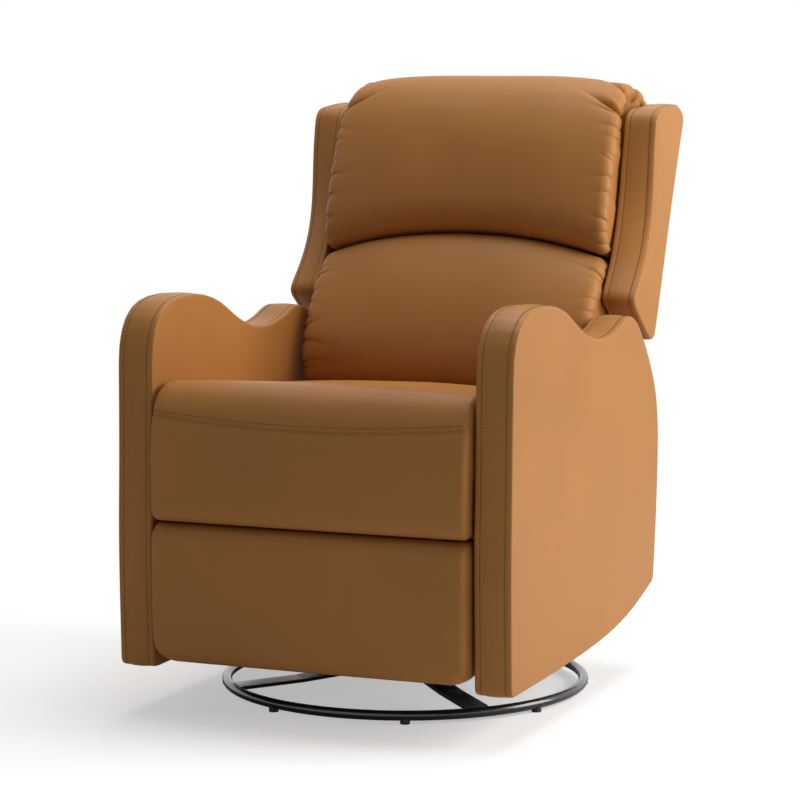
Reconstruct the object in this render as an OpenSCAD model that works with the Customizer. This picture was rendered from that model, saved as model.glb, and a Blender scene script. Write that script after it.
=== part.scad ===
// Swivel rocker recliner: a ring base that turns, a spring rocker on it, and an
// upholstered chair whose back reclines while a linked footrest folds out in front.
// Left and right are the sitter's. The sitter faces -Y, and the floor is z = 0.

/* [Overall] */
// Width over both arms
chair_w = 670; // [640:1:720]
// Thickness of an arm
arm_t = 61; // [56:1:72]
// Depth of an arm from front to back
arm_depth = 728; // [720:1:760]
// Height of an arm from its lower edge to its front peak
arm_height = 590; // [580:1:610]
// Height of an arm's lower edge above the floor
arm_lift = 79; // [76:1:86]
// Distance of the arm's front from the swivel axis
arm_front = 392; // [388:1:398]
// Running gap between the arms and what moves between them
side_gap = 3; // [2:0.5:5]

/* [Ring base] */
// Radius of the ring's centre line
ring_r = 300; // [285:1:305]
// Diameter of the ring's tube
ring_tube = 16.4; // [14:0.2:18]
// Height of a floor glide under the ring
glide_h = 5; // [4:0.5:8]
// Diameter of a floor glide
glide_d = 16; // [12:1:20]
// Number of floor glides
glide_count = 8; // [6:1:12]
// Width of a spoke
spoke_w = 38; // [30:1:44]
// Thickness of a spoke
spoke_t = 6; // [5:0.5:8]
// Rise of a spoke from the ring to the hub
spoke_rise = 8; // [6:1:12]
// Angle between a front spoke and the chair's middle plane
spoke_turn = 45; // [40:1:50]
// Diameter of the hub plate
hub_d = 190; // [170:1:200]
// Thickness of the hub plate
hub_t = 4; // [3:0.5:6]

/* [Swivel bearing] */
// Outer diameter of the bearing races
race_d = 150; // [140:1:160]
// Inner diameter of the bearing races
race_hole = 90; // [80:1:100]
// Thickness of one race
race_t = 4; // [3:0.5:5]
// Gap between the two races
race_gap = 0.5; // [0.3:0.1:1]
// Diameter of a bearing ball
ball_d = 5; // [4:0.5:6]
// Number of bearing balls
ball_count = 20; // [12:1:24]
// Diameter of the king bolt
king_d = 16; // [14:1:20]
// Running clearance of a pin in its bore, on the radius
pin_gap = 0.05; // [0.02:0.01:0.1]

/* [Rocker] */
// Thickness of the turntable plate
turntable_t = 4; // [3:0.5:6]
// Length of the turntable plate and the tracks
track_l = 240; // [220:1:250]
// Width of a track
track_w = 44; // [40:1:50]
// Height of a track
track_h = 14; // [12:1:16]
// Distance of a track from the chair's middle plane
track_x = 130; // [120:1:140]
// Radius of the rocker cams
cam_r = 190; // [180:1:220]
// Length of a cam
cam_l = 104; // [90:1:110]
// Width of a cam
cam_w = 22; // [18:1:26]
// Height of a cam under its channel
cam_h = 24; // [23:1:28]
// Length of a cam's channel
channel_l = 216; // [212:1:220]
// Thickness of a cam's channel
channel_t = 6; // [5:0.5:8]
// Gap between cam and track
cam_gap = 0.3; // [0.2:0.1:0.5]
// Distance of a rocker spring from the middle of its cam
spring_y = 88; // [84:1:92]
// Outer diameter of a rocker spring
spring_d = 36; // [30:1:38]
// Wire diameter of a rocker spring
spring_wire = 6; // [5:0.5:7]
// Turns of a rocker spring
spring_turns = 2; // [2:1:3]

/* [Chassis] */
// Width and height of the cross members
cross_w = 25; // [20:1:28]
// Distance of the front cross member ahead of the swivel axis
front_cross = 28; // [24:1:30]
// Distance of the rear cross member behind the swivel axis
rear_cross = 70; // [60:1:90]
// Wall of the arm covers
cover_wall = 8; // [6:0.5:10]
// Width of the wood in an arm frame
arm_wood = 45; // [36:1:50]
// Diameter of a bolt through a cross member
bolt_d = 6; // [5:0.5:6]
// Height of a slide rail
rail_h = 26; // [24:1:28]
// Depth of a slide rail
rail_deep = 22; // [20:0.5:23]
// Metal thickness of a slide rail
rail_wall = 2.5; // [2:0.25:3]
// Height of the slide rail's middle
rail_z = 306; // [304:1:308]
// Distance of a slide rail's front end ahead of the swivel axis
rail_front = 215; // [210:1:220]
// Distance of a slide rail's rear end behind the swivel axis
rail_back = 300; // [300:1:306]
// Thickness of the frame's boards
board_t = 18; // [16:1:20]

/* [Seat] */
// Height of the seat's front crown above the floor
seat_z = 539; // [530:1:545]
// Drop of the seat cushion from front to back
seat_drop = 30; // [20:1:36]
// Distance of the cushion's rear end from the swivel axis
cushion_rear = 112; // [106:1:114]
// How far the seat nose stands ahead of the arms
nose = 16; // [12:1:18]
// Height of the seat's front seam at its ends
seam_z = 490; // [484:1:494]
// How much lower the seam lies in the middle
seam_dip = 14; // [8:1:18]
// Height of the crease over the footrest
crease_z = 319; // [317:1:322]
// Gap between the front panel and the footrest
crease_gap = 3; // [2.5:0.5:4]
// Number of sinuous seat springs
sinuous_count = 5; // [4:1:6]

/* [Back] */
// Lean of the back from upright
back_lean = 22; // [20:0.5:24]
// Distance of the recline pivot behind the swivel axis
recline_y = 198; // [196:1:200]
// Height of the recline pivot
recline_z = 372; // [370:1:374]
// Length up the back from the recline pivot to its top
back_up = 648; // [640:1:655]
// Length up the back to the crease between the pads, at its ends
pad_split = 346; // [340:1:350]
// How far that crease arches up in the middle
split_arch = 36; // [30:1:40]
// Thickness of the headrest pad with its crown
headrest_t = 104; // [90:1:110]
// Thickness of the lumbar pad with its crown
lumbar_t = 122; // [110:1:126]
// Distance of the back's rear face behind the recline pivot
back_rear = 75; // [72:1:80]
// Height of the recline link's pivot over the recline pivot
link_up = 56; // [55:0.5:57]
// Length of a recline link
recline_l = 94; // [90:1:96]
// How far a wing's outer face lies inside the arm's
wing_inset = 13; // [9:1:17]
// Thickness of a wing
wing_t = 56; // [52:1:57]

/* [Footrest] */
// Distance of the main swing pivot ahead of the swivel axis
swing_f = 222; // [220:1:224]
// Height of the main swing pivot
swing_z = 316; // [315:1:318]
// Length of a swing link
swing_l = 214; // [212:1:216]
// Length of a coupler link
coupler_l = 226; // [224:1:228]
// Distance of the footrest's pivot ahead of the swivel axis
rest_f = 304; // [302:1:305]
// Height of the footrest's pivot
rest_z = 268; // [266:1:270]
// Distance of the follower's pivot ahead of the swivel axis
follow_f = 188.6; // [188:0.1:189]
// Height of the follower's pivot
follow_z = 292; // [291.5:0.1:292.5]
// Distance along the coupler from the swing link to the follower
couple_back = 38; // [37:0.5:39]
// Crank of the follower link beyond the coupler
crank_l = 40; // [38:0.5:42]
// Angle of that crank against the follower link
crank_turn = 273.8; // [273:0.1:275]
// How far the control link's pivot lies behind the footrest's pivot
arm_back = 44.9; // [44:0.1:46]
// How far the control link's pivot lies above the footrest's pivot
arm_up = 10.7; // [10:0.1:11.5]
// Distance of the seat plates from the arms
plate_inset = 33; // [32.5:0.5:34]
// Width of a link
link_w = 16; // [14:1:17]
// Thickness of a link
link_t = 4; // [3:0.5:4.5]
// Spacing of the layers of links
link_pitch = 6; // [5.5:0.5:6.5]
// Diameter of a link stud
stud_d = 8; // [7:0.5:9]
// Diameter of the drive tube
drive_d = 18; // [16:1:20]
// Height of the footrest's lower edge
rest_low = 92; // [88:1:96]
// Distance of the footrest board's rear face ahead of the swivel axis
rest_board = 322; // [321:1:324]
// Thickness of the footrest board
rest_board_t = 12; // [10:1:14]

/* [Release] */
// Width of the lever cup
cup_w = 92; // [84:1:100]
// Height of the lever cup
cup_h = 62; // [56:1:70]
// Depth of the lever cup
cup_deep = 20; // [18:1:22]
// Distance of the cup's middle ahead of the swivel axis
cup_f = 120; // [100:1:140]
// Height of the cup's middle
cup_z = 470; // [450:1:480]
// Diameter of the release cable
cable_d = 5; // [4:0.5:6]

/* [Hidden] */
$fn = 48;

// One overrun serves every cut, and one small gap every seat of a rigid piece
over = 1;
seat_gap = 0.3;
left = 1;
right = -1;

leather = [0.62, 0.38, 0.17];
steel = [0.10, 0.10, 0.11];
zinc = [0.60, 0.61, 0.62];
ply = [0.76, 0.60, 0.40];
nylon = [0.16, 0.16, 0.16];

// Outlines of arm and wing as shares of their depth and height, each with the share of its
// shorter side that the corner's curve takes
arm_shares = [[0.010, 0, 0.10], [0, 0.300, 1], [0.010, 0.655, 1], [0.012, 0.985, 0.95],
    [0.290, 1.010, 1], [0.490, 0.880, 1], [0.655, 0.868, 1], [0.800, 0.940, 1],
    [0.925, 0.800, 1], [1.012, 0.620, 1], [0.998, 0.330, 1], [0.978, 0.115, 0.16],
    [0.780, 0.045, 1], [0.500, 0.010, 1]];
wing_shares = [[0.015, 0.080, 0.25], [0.155, 0.260, 1], [0.160, 0.460, 1], [0.030, 0.740, 1],
    [0.000, 0.930, 1], [0.360, 1.000, 1], [1.040, 1.010, 0.75], [0.985, 0.880, 1],
    [0.985, 0.010, 0.30], [0.860, -0.020, 0.30], [0.060, 0.050, 0.30]];
curve_steps = 6;

// A closed outline whose corners are drawn as curves
function bend(a, b, c, share) = [for (i = [0:curve_steps]) let(t = i / curve_steps,
    p = b + (a - b) * share / 2, q = b + (c - b) * share / 2)
    (1 - t) * (1 - t) * p + 2 * t * (1 - t) * b + t * t * q];
function outline(shares, low, high) = let(n = len(shares),
    place = [for (s = shares) [low[0] + s[0] * (high[0] - low[0]), low[1] + s[1] * (high[1] - low[1])]])
    [for (i = [0:n - 1]) each bend(place[(i + n - 1) % n], place[i], place[(i + 1) % n], shares[i][2])];

// Sizes and places of the small pieces
race_play = 0.1;
king_head = 6;
track_wall = 3;
step_gap = 1.2;
recline_max = 35;
apron_low = 165;
apron_high = 350;
cup_wall = 3;
cup_lip = 4;
lever_t = 5;
lever_h = 40;
lever_l = 58;
lever_pin = 3;
cable_bend = 12;
latch_f = 60;
latch_z = 345;
latch_w = 40;
latch_gap = 3;
pawl_f = 52;
pawl_z = 336;
pawl_l = 30;
pawl_gap = 2;
plate_front = 240;
plate_skirt = 12;
plate_lap = 26;
glide_l = 60;
glide_f = 120;
frame_z = 340;
frame_h = 58;
frame_front = 345;
frame_rear = 150;
spring_amp = 22;
wire_d = 4;
pinch_share = 0.55;
roll_share = 0.45;
tuck_share = 0.8;
taper_share = 0.3;
end_power = 4;
taper_power = 2;
draw_share = 0.08;
nut_share = 1.7;
waist_share = 0.8;
elbow_share = 1.2;
nose_share = 0.12;
nose_roll = 60;
crown_f = 320;
crown_drop = 10;
edge_share = 0.02;
rear_inset = 3;
wing_ahead = 78;
wing_foot = 236;
wing_up = 646;
wing_block = 40;
post_foot = -10;
post_top = 622;
spacer_foot = 90;
bracket_top = 190;
bracket_w = 22;
lumbar_foot = 84;
top_arch = 16;
cover_foot = 15;
open_gap = 1.6;
emboss = 0.4;
link_gap = 2.1;
head_rim = 5;
head_t = 1.2;
flange_w = 34;
flange_h = 70;

// Places on the chair, measured from the swivel axis with the front at -y
arm_x = chair_w / 2;
inner_x = arm_x - arm_t;
half_in = inner_x - side_gap;
wing_x = arm_x - wing_inset;
wing_in = wing_x - wing_t;
arm_low = [-arm_front, arm_lift];
arm_high = [arm_depth - arm_front, arm_lift + arm_height];
function arm_line(inset) = outline(arm_shares, arm_low + [inset, inset], arm_high - [inset, inset]);
wing_low = [-wing_ahead, wing_foot];
wing_high = [back_rear, wing_up];
wing_points = outline(wing_shares, wing_low, wing_high);
function leaned_y(p) = recline_y + p[1] * sin(back_lean) + p[0] * cos(back_lean);
back_reach = max([for (p = wing_points) leaned_y(p)]);
front_deep = arm_front + nose;
axis_y = (front_deep - back_reach) / 2;

saddle = ring_tube / 4;
plate_x = inner_x - plate_inset;
back_x = plate_x + step_gap + link_t;
recline_x = back_x + step_gap + link_t;
riser_x = recline_x + step_gap + link_t;
anchor_drop = link_up * (1 - cos(recline_max)) / 2;
anchor = [recline_y + sqrt(recline_l * recline_l - anchor_drop * anchor_drop),
    recline_z + link_up - anchor_drop];
apron_y = rail_back + seat_gap;
cushion_z = frame_z + frame_h + wire_d + 2 * seat_gap;
lap_f = frame_front + board_t + 2 * seat_gap;

ring_z = glide_h + ring_tube / 2;
spoke_z = ring_z + ring_tube / 2;
hub_z = spoke_z + spoke_rise + spoke_t;
race_z = hub_z + hub_t;
turntable_z = race_z + 2 * race_t + race_gap;
track_z = turntable_z + turntable_t;
track_top = track_z + track_h;
rock_z = track_top + cam_gap + cam_r;
cam_top = track_top + cam_gap + cam_h;
cross_z = cam_top + channel_t;

module placed() translate([0, axis_y, 0]) children();
module leaned() placed() translate([0, recline_y, recline_z]) rotate([-back_lean, 0, 0]) children();
module slab(x, t) translate([x, 0, 0]) rotate([90, 0, 90]) linear_extrude(t) children();
module on_side(side) mirror([side == left ? 0 : 1, 0, 0]) children();
module block(low, high) translate(low) cube(high - low);
module round_x(x, p, d, t) translate([x - t, -p[0], p[1]]) rotate([0, 90, 0]) cylinder(h = t, d = d);
// A link is a flat strip between embossed eyes, which are wider and thicker than the strip
module strip(x, p, q, w) {
    reach = q - p;
    translate([x - link_t, -p[0], p[1]]) rotate([-atan2(reach[1], reach[0]), 0, 0])
        block([emboss, w / 4 - norm(reach), -w * waist_share / 2],
            [link_t - emboss, -w / 4, w * waist_share / 2]);
}
module eye(x, p, w) round_x(x, p, w, link_t);
module bar(x, p, q, w) {
    strip(x, p, q, w);
    eye(x, p, w);
    eye(x, q, w);
}

// Ring base, which stands on the floor

module base_ring() color(steel) placed() translate([0, 0, ring_z])
    rotate_extrude($fn = 96) translate([ring_r, 0]) circle(d = ring_tube);

// A spoke saddles the ring, bends up to the hub and crosses its opposite there
spoke_line = [[0, spoke_rise], [hub_d / 2, spoke_rise], [hub_d, 0], [ring_r, -saddle],
    [ring_r, -saddle + spoke_t], [hub_d, spoke_t], [hub_d / 2, spoke_rise + spoke_t],
    [0, spoke_rise + spoke_t]];
module base_spokes() color(steel) placed() difference() {
    union() for (side = [-1, 1], end = [0, 180]) rotate(end + side * spoke_turn)
        translate([0, 0, spoke_z]) slab(-spoke_w / 2, spoke_w) polygon(spoke_line);
    translate([0, 0, ring_z]) rotate_extrude($fn = 96) translate([ring_r, 0])
        circle(d = ring_tube + 2 * seat_gap);
    translate([0, 0, spoke_z]) cylinder(h = 2 * hub_z, d = king_d + 2 * pin_gap);
}

module hub_plate() color(steel) placed() difference() {
    translate([0, 0, hub_z]) cylinder(h = hub_t, d = hub_d);
    translate([0, 0, hub_z - over]) cylinder(h = hub_t + 2 * over, d = king_d + 2 * pin_gap);
}

module floor_glides() color(nylon) placed() for (i = [0:glide_count - 1]) difference() {
    rotate((i + 1 / 2) * 360 / glide_count) translate([ring_r, 0, 0])
        cylinder(h = ring_z, d = glide_d);
    translate([0, 0, ring_z]) rotate_extrude($fn = 96) translate([ring_r, 0])
        circle(d = ring_tube + 2 * seat_gap);
}

// Ball bearing between the hub and the turntable, held by one king bolt

ball_z = race_z + race_t + race_gap / 2;
ball_r = (race_d + race_hole) / 4;
module race(z) difference() {
    translate([0, 0, z]) cylinder(h = race_t, d = race_d);
    translate([0, 0, z - over]) cylinder(h = race_t + 2 * over, d = race_hole);
    translate([0, 0, ball_z]) rotate_extrude() translate([ball_r, 0]) circle(d = ball_d + 2 * race_play);
}
module bearing_lower_race() color(zinc) placed() race(race_z);
module bearing_upper_race() color(zinc) placed() race(race_z + race_t + race_gap);
module bearing_balls() color(zinc) placed() for (i = [0:ball_count - 1])
    rotate(i * 360 / ball_count) translate([ball_r, 0, ball_z]) sphere(d = ball_d, $fn = 24);

module king_bolt() color(zinc) placed() union() {
    translate([0, 0, spoke_z + spoke_rise - king_head]) cylinder(h = king_head, d = 2 * king_d);
    translate([0, 0, spoke_z + spoke_rise - over])
        cylinder(h = track_z + seat_gap - spoke_z - spoke_rise + 2 * over, d = king_d);
    translate([0, 0, track_z + seat_gap]) cylinder(h = king_head, d = 2 * king_d);
}

// Turntable with the two tracks that the rocker cams roll on

turntable_w = 2 * track_x + track_w;
module turntable_plate() color(steel) placed() difference() {
    translate([0, 0, turntable_z])
        block([-turntable_w / 2, -race_d / 2, 0], [turntable_w / 2, race_d / 2, turntable_t]);
    translate([0, 0, turntable_z - over])
        cylinder(h = turntable_t + 2 * over, d = king_d + 2 * pin_gap);
}

module rocker_track() color(steel) placed() translate([track_x, 0, track_z]) difference() {
    block([-track_w / 2, -track_l / 2, 0], [track_w / 2, track_l / 2, track_h]);
    block([-track_w / 2 + track_wall, -track_l / 2 - over, -over],
        [track_w / 2 - track_wall, track_l / 2 + over, track_h - track_wall]);
}
module left_rocker_track() on_side(left) rocker_track();
module right_rocker_track() on_side(right) rocker_track();

// A coil of round wire as one tube of flat-sided rings along a helix
wire_sides = 6;
turn_rings = 12;
function coil_point(i, j, rings, high) = let(a = i * 360 / turn_rings, b = j * 360 / wire_sides,
    r = (spring_d - spring_wire + spring_wire * cos(b)) / 2)
    [r * cos(a), r * sin(a), spring_wire / 2 + high * i / rings + spring_wire * sin(b) / 2];
module coil(high) {
    rings = spring_turns * turn_rings;
    points = [for (i = [0:rings], j = [0:wire_sides - 1])
        coil_point(i, j, rings, high - spring_wire)];
    n = wire_sides;
    sides = [for (i = [0:rings - 1], j = [0:n - 1]) let(a = i * n + j, b = i * n + (j + 1) % n)
        each [[a, b, a + n], [b, b + n, a + n]]];
    polyhedron(points, concat(sides, [[for (j = [n - 1:-1:0]) j]], [[for (j = [0:n - 1]) rings * n + j]]));
}
module rocker_springs() color(zinc) placed() for (x = [-track_x, track_x], y = [-spring_y, spring_y])
    translate([x, y, track_top + seat_gap]) coil(cam_h + cam_gap - 2 * seat_gap);

// Chassis: rocker cams, cross members, slide rails and the two arms

// Two bolts at each crossing, beside the cam
bolt_side = (track_w + cam_w) / 4;
module at_bolts(y, z) for (x = [track_x - bolt_side, track_x + bolt_side]) translate([x, y, z]) children();
module bolt_holes(y) at_bolts(y, cam_top - over)
    cylinder(h = channel_t + cross_w + 2 * over, d = bolt_d + 2 * pin_gap);

module rocker_cam() color(steel) placed() difference() {
    translate([track_x, 0, 0]) union() {
        intersection() {
            block([-cam_w / 2, -cam_l / 2, track_top], [cam_w / 2, cam_l / 2, cam_top + over]);
            translate([-cam_w, 0, rock_z]) rotate([0, 90, 0]) cylinder(h = 2 * cam_w, r = cam_r);
        }
        block([-track_w / 2, -channel_l / 2, cam_top], [track_w / 2, channel_l / 2, cross_z]);
    }
    bolt_holes(-front_cross);
    bolt_holes(rear_cross);
}
module left_rocker_cam() on_side(left) rocker_cam();
module right_rocker_cam() on_side(right) rocker_cam();

cross_half = inner_x - seat_gap;
module cross_member(y) color(steel) placed() difference() {
    translate([0, y, cross_z]) block([-cross_half, -cross_w / 2, 0], [cross_half, cross_w / 2, cross_w]);
    translate([0, y, cross_z]) block([-cross_half - over, -cross_w / 2 + track_wall, track_wall],
        [cross_half + over, cross_w / 2 - track_wall, cross_w - track_wall]);
    for (side = [left, right]) on_side(side) bolt_holes(y);
}
module front_cross_member() cross_member(-front_cross);
module rear_cross_member() cross_member(rear_cross);

module slide_rail() color(steel) placed() union() {
    difference() {
        block([cross_half - rail_deep, -rail_front, rail_z - rail_h / 2],
            [cross_half, rail_back, rail_z + rail_h / 2]);
        block([cross_half - rail_deep - over, -rail_front - over, rail_z - rail_h / 2 + rail_wall],
            [cross_half - rail_wall, rail_back + over, rail_z + rail_h / 2 - rail_wall]);
    }
    block([riser_x - link_t, anchor[0] - link_w / 2, rail_z + rail_h / 2 - rail_wall],
        [riser_x, anchor[0] + link_w / 2, anchor[1]]);
    round_x(riser_x, [-anchor[0], anchor[1]], link_w, link_t);
    round_x(riser_x - over, [-anchor[0], anchor[1]], stud_d, riser_x - over - recline_x + link_t);
}
module left_slide_rail() on_side(left) slide_rail();
module right_slide_rail() on_side(right) slide_rail();

module cross_bolt() union() {
    cylinder(h = channel_t + cross_w, d = bolt_d);
    translate([0, 0, -bolt_d / 2 - seat_gap]) cylinder(h = bolt_d / 2, d = nut_share * bolt_d, $fn = 6);
    translate([0, 0, -seat_gap - over]) cylinder(h = seat_gap + 2 * over, d = bolt_d);
    translate([0, 0, channel_t + cross_w - over]) cylinder(h = seat_gap + 2 * over, d = bolt_d);
    translate([0, 0, channel_t + cross_w + seat_gap])
        cylinder(h = bolt_d / 2, d = nut_share * bolt_d, $fn = 6);
}
module cross_bolts() color(zinc) placed() for (side = [left, right], y = [-front_cross, rear_cross])
    on_side(side) at_bolts(y, cam_top) cross_bolt();

// An arm is a wooden frame in a padded cover
module arm_frame() color(ply) placed() difference() {
    slab(inner_x + cover_wall + seat_gap, arm_t - 2 * (cover_wall + seat_gap))
        polygon(arm_line(cover_wall + seat_gap));
    slab(inner_x, arm_t) polygon(arm_line(cover_wall + arm_wood));
}
module left_arm_frame() on_side(left) arm_frame();
module right_arm_frame() on_side(right) arm_frame();

module arm_cover() difference() {
    slab(inner_x, arm_t) polygon(arm_line(0));
    slab(inner_x + cover_wall, arm_t - 2 * cover_wall) polygon(arm_line(cover_wall));
}
module left_arm_cover() color(leather) placed() arm_cover();
module right_arm_cover() color(leather) placed() difference() {
    on_side(right) arm_cover();
    block([-arm_x - over, -cup_f - cup_w / 2 - seat_gap, cup_z - cup_h / 2 - seat_gap],
        [-arm_x + cover_wall + over, -cup_f + cup_w / 2 + seat_gap, cup_z + cup_h / 2 + seat_gap]);
    cable_line(cable_d + 2 * seat_gap);
}

// Board with padding that closes the chassis low at the back, from arm to arm
module rear_apron() color(leather) placed()
    block([-cross_half, apron_y, apron_low], [cross_half, apron_y + board_t, apron_high]);

// Release lever in its cup on the sitter's right arm, and the cable down to the latch

lip = cup_wall / 2;
hinge_y = -cup_f - cup_w / 2 + cup_wall + lever_t;
hinge_x = -arm_x + lever_t;
module lever_cup() color(nylon) placed() difference() {
    union() {
        block([-arm_x, -cup_f - cup_w / 2, cup_z - cup_h / 2],
            [-arm_x + cup_deep, -cup_f + cup_w / 2, cup_z + cup_h / 2]);
        block([-arm_x - lip, -cup_f - cup_w / 2 - cup_lip, cup_z - cup_h / 2 - cup_lip],
            [-arm_x - seat_gap, -cup_f + cup_w / 2 + cup_lip, cup_z + cup_h / 2 + cup_lip]);
        block([-arm_x - lip, -cup_f - cup_w / 2, cup_z - cup_h / 2],
            [-arm_x + over, -cup_f + cup_w / 2, cup_z + cup_h / 2]);
    }
    block([-arm_x - lip - over, -cup_f - cup_w / 2 + cup_wall, cup_z - cup_h / 2 + cup_wall],
        [-arm_x + cup_deep - cup_wall, -cup_f + cup_w / 2 - cup_wall, cup_z + cup_h / 2 - cup_wall]);
    translate([hinge_x, hinge_y, cup_z - cup_h / 2 + cup_wall / 2])
        cylinder(h = cup_h - cup_wall, d = lever_pin + 2 * pin_gap);
}

module release_lever() color(nylon) placed() difference() {
    union() {
        block([hinge_x - lever_t / 2, hinge_y, cup_z - lever_h / 2],
            [hinge_x + lever_t / 2, hinge_y + lever_l, cup_z + lever_h / 2]);
        translate([hinge_x, hinge_y, cup_z - lever_h / 2]) cylinder(h = lever_h, d = lever_t);
        translate([hinge_x, hinge_y, cup_z - cup_h / 2 + cup_wall / 2 + seat_gap])
            cylinder(h = cup_h - cup_wall - 2 * seat_gap, d = lever_pin);
    }
    translate([hinge_x - lever_t, hinge_y + lever_l, cup_z]) rotate([0, 90, 0])
        cylinder(h = 2 * lever_t, d = lever_h / 2);
}

// Route of the cable's middle line: cup, arm, through the arm's inner wall, latch
cable_route = [[-arm_x + cup_deep + seat_gap, -cup_f, cup_z],
    [-arm_x + cup_deep + cable_bend, -cup_f, cup_z],
    [-arm_x + cup_deep + cable_bend, -latch_f - cable_bend, latch_z + cable_bend],
    [-arm_x + cup_deep + cable_bend, -latch_f, latch_z],
    [-inner_x + latch_gap, -latch_f, latch_z]];
module rod(a, b, d) {
    v = b - a;
    translate(a) rotate([0, acos(v[2] / norm(v)), atan2(v[1], v[0])]) cylinder(h = norm(v), d = d);
}
module cable_line(d) union() {
    for (i = [0:len(cable_route) - 2]) rod(cable_route[i], cable_route[i + 1], d);
    for (i = [1:len(cable_route) - 2]) translate(cable_route[i]) sphere(d = elbow_share * d);
}
module release_cable() color(nylon) placed() cable_line(cable_d);

// The latch stands on the sitter's right slide rail, just clear of the arm
latch_foot = rail_z + rail_h / 2;
latch_x = -inner_x + latch_gap + seat_gap;
pawl_x = latch_x + rail_wall + pawl_gap;
module latch_bracket() color(zinc) placed() union() {
    block([latch_x, -latch_f - latch_w / 2, latch_foot],
        [latch_x + rail_wall, -latch_f + latch_w / 2, latch_z + latch_w / 2]);
    block([latch_x, -latch_f - latch_w / 2, latch_foot],
        [-cross_half + rail_deep, -latch_f + latch_w / 2, latch_foot + rail_wall]);
    translate([latch_x + rail_wall - over, -pawl_f, pawl_z]) rotate([0, 90, 0])
        cylinder(h = link_t + pawl_gap + 2 * over, d = stud_d);
}
module latch_pawl() color(zinc) placed() difference() {
    union() {
        translate([pawl_x, -pawl_f, pawl_z]) rotate([0, 90, 0]) cylinder(h = link_t, d = 2 * stud_d);
        translate([pawl_x, -pawl_f, pawl_z]) block([0, 0, -stud_d / 2], [link_t, pawl_l, stud_d / 2]);
    }
    translate([pawl_x - over, -pawl_f, pawl_z]) rotate([0, 90, 0])
        cylinder(h = link_t + 2 * over, d = stud_d + 2 * pin_gap);
}

// Seat carriage, which slides forward on the rails as the back reclines

module glide_block(f) block([plate_x, -f - glide_l / 2, rail_z - rail_h / 2 + rail_wall + seat_gap],
    [cross_half - rail_wall - seat_gap, -f + glide_l / 2, rail_z + rail_h / 2 - rail_wall - seat_gap]);
module seat_glides() color(nylon) placed() for (side = [left, right], f = [-glide_f, glide_f])
    on_side(side) glide_block(f);

module seat_plate() color(zinc) placed() union() {
    difference() {
        union() {
            block([plate_x - link_t, -plate_front, rail_z - plate_skirt],
                [plate_x, recline_y, frame_z + plate_lap]);
            block([plate_x - link_t, -plate_front, follow_z - link_w / 2 - cover_wall],
                [plate_x, -follow_f + link_w, rail_z]);
            round_x(plate_x, [-recline_y, recline_z], 2 * link_w, link_t);
        }
        round_x(plate_x + over, [swing_f, swing_z], drive_d + 2 * pin_gap, link_t + 2 * over);
        round_x(plate_x + over, [-recline_y, recline_z], stud_d + 2 * pin_gap, link_t + 2 * over);
    }
    stud(plate_x - link_t, [follow_f, follow_z], link_pitch);
}
module left_seat_plate() on_side(left) seat_plate();
module right_seat_plate() on_side(right) seat_plate();

frame_half = plate_x - link_t - seat_gap;
module seat_frame() color(ply) placed() difference() {
    block([-frame_half, -frame_front, frame_z], [frame_half, frame_rear, frame_z + frame_h]);
    block([-frame_half + board_t, -frame_front + board_t, frame_z - over],
        [frame_half - board_t, frame_rear - board_t, frame_z + frame_h + over]);
}

// Each sinuous spring is a wire that winds from the front rail to the rear rail
wire_steps = 72;
wave_count = 12;
function wave(t) = spring_amp * sin(360 * wave_count * t);
function wave_point(i, side) = let(t = i / wire_steps, l = frame_front + frame_rear - board_t,
    slope = spring_amp * 2 * PI * wave_count * cos(360 * wave_count * t) / l,
    n = [1, -slope] / norm([1, slope]))
    [wave(t) + side * n[0] * wire_d / 2, -frame_front + board_t / 2 + t * l + side * n[1] * wire_d / 2];
module sinuous_wire() linear_extrude(wire_d) polygon(concat(
    [for (i = [0:wire_steps]) wave_point(i, 1)], [for (i = [wire_steps:-1:0]) wave_point(i, -1)]));
module seat_springs() color(zinc) placed() for (i = [0:sinuous_count - 1])
    translate([(i - (sinuous_count - 1) / 2) * 2 * (frame_half - board_t) / sinuous_count, 0,
        frame_z + frame_h + seat_gap]) sinuous_wire();

module front_board() color(ply) placed()
    block([-half_in + board_t, seat_gap - lap_f, crease_z + crease_gap],
        [half_in - board_t, -frame_front - seat_gap, cushion_z - seat_gap]);

// A pad is a stack of rings, flat behind and crowned in front. Its height runs along z and its
// crown towards -y. The ends may arch, and the sides draw in towards the back. A ring's points
// run over the front from one side to the other, then back along the rear.
ring_points = 20;
pad_rings = 16;
box_power = 8;
function across(j) = cos(180 * (j > ring_points ? 2 * ring_points - j : j) / ring_points);
function bulge(j) = j > ring_points ? 0 : pow(max(0, 1 - pow(abs(across(j)), box_power)), 1 / box_power);
module skin(points, rings) {
    m = 2 * ring_points;
    sides = [for (i = [0:rings - 1], j = [0:m - 1]) let(a = i * m + j, b = i * m + (j + 1) % m)
        each [[a, b, a + m], [b, b + m, a + m]]];
    low_end = [for (j = [0:ring_points - 1]) let(k = (m - j) % m)
        each [if (j > 0) [j, k, j + 1], if (j < ring_points - 1) [j + 1, k, m - j - 1]]];
    high_end = [for (f = low_end) [for (k = [2, 1, 0]) f[k] + rings * m]];
    polyhedron(points, concat(sides, low_end, high_end));
}
function swell(v, ends, soft) = let(w = 2 * v - 1, i = w < 0 ? 0 : 1)
    ends[i] + (1 - ends[i]) * pow(max(0, 1 - pow(abs(w), soft[i])), 1 / soft[i]);
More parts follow.
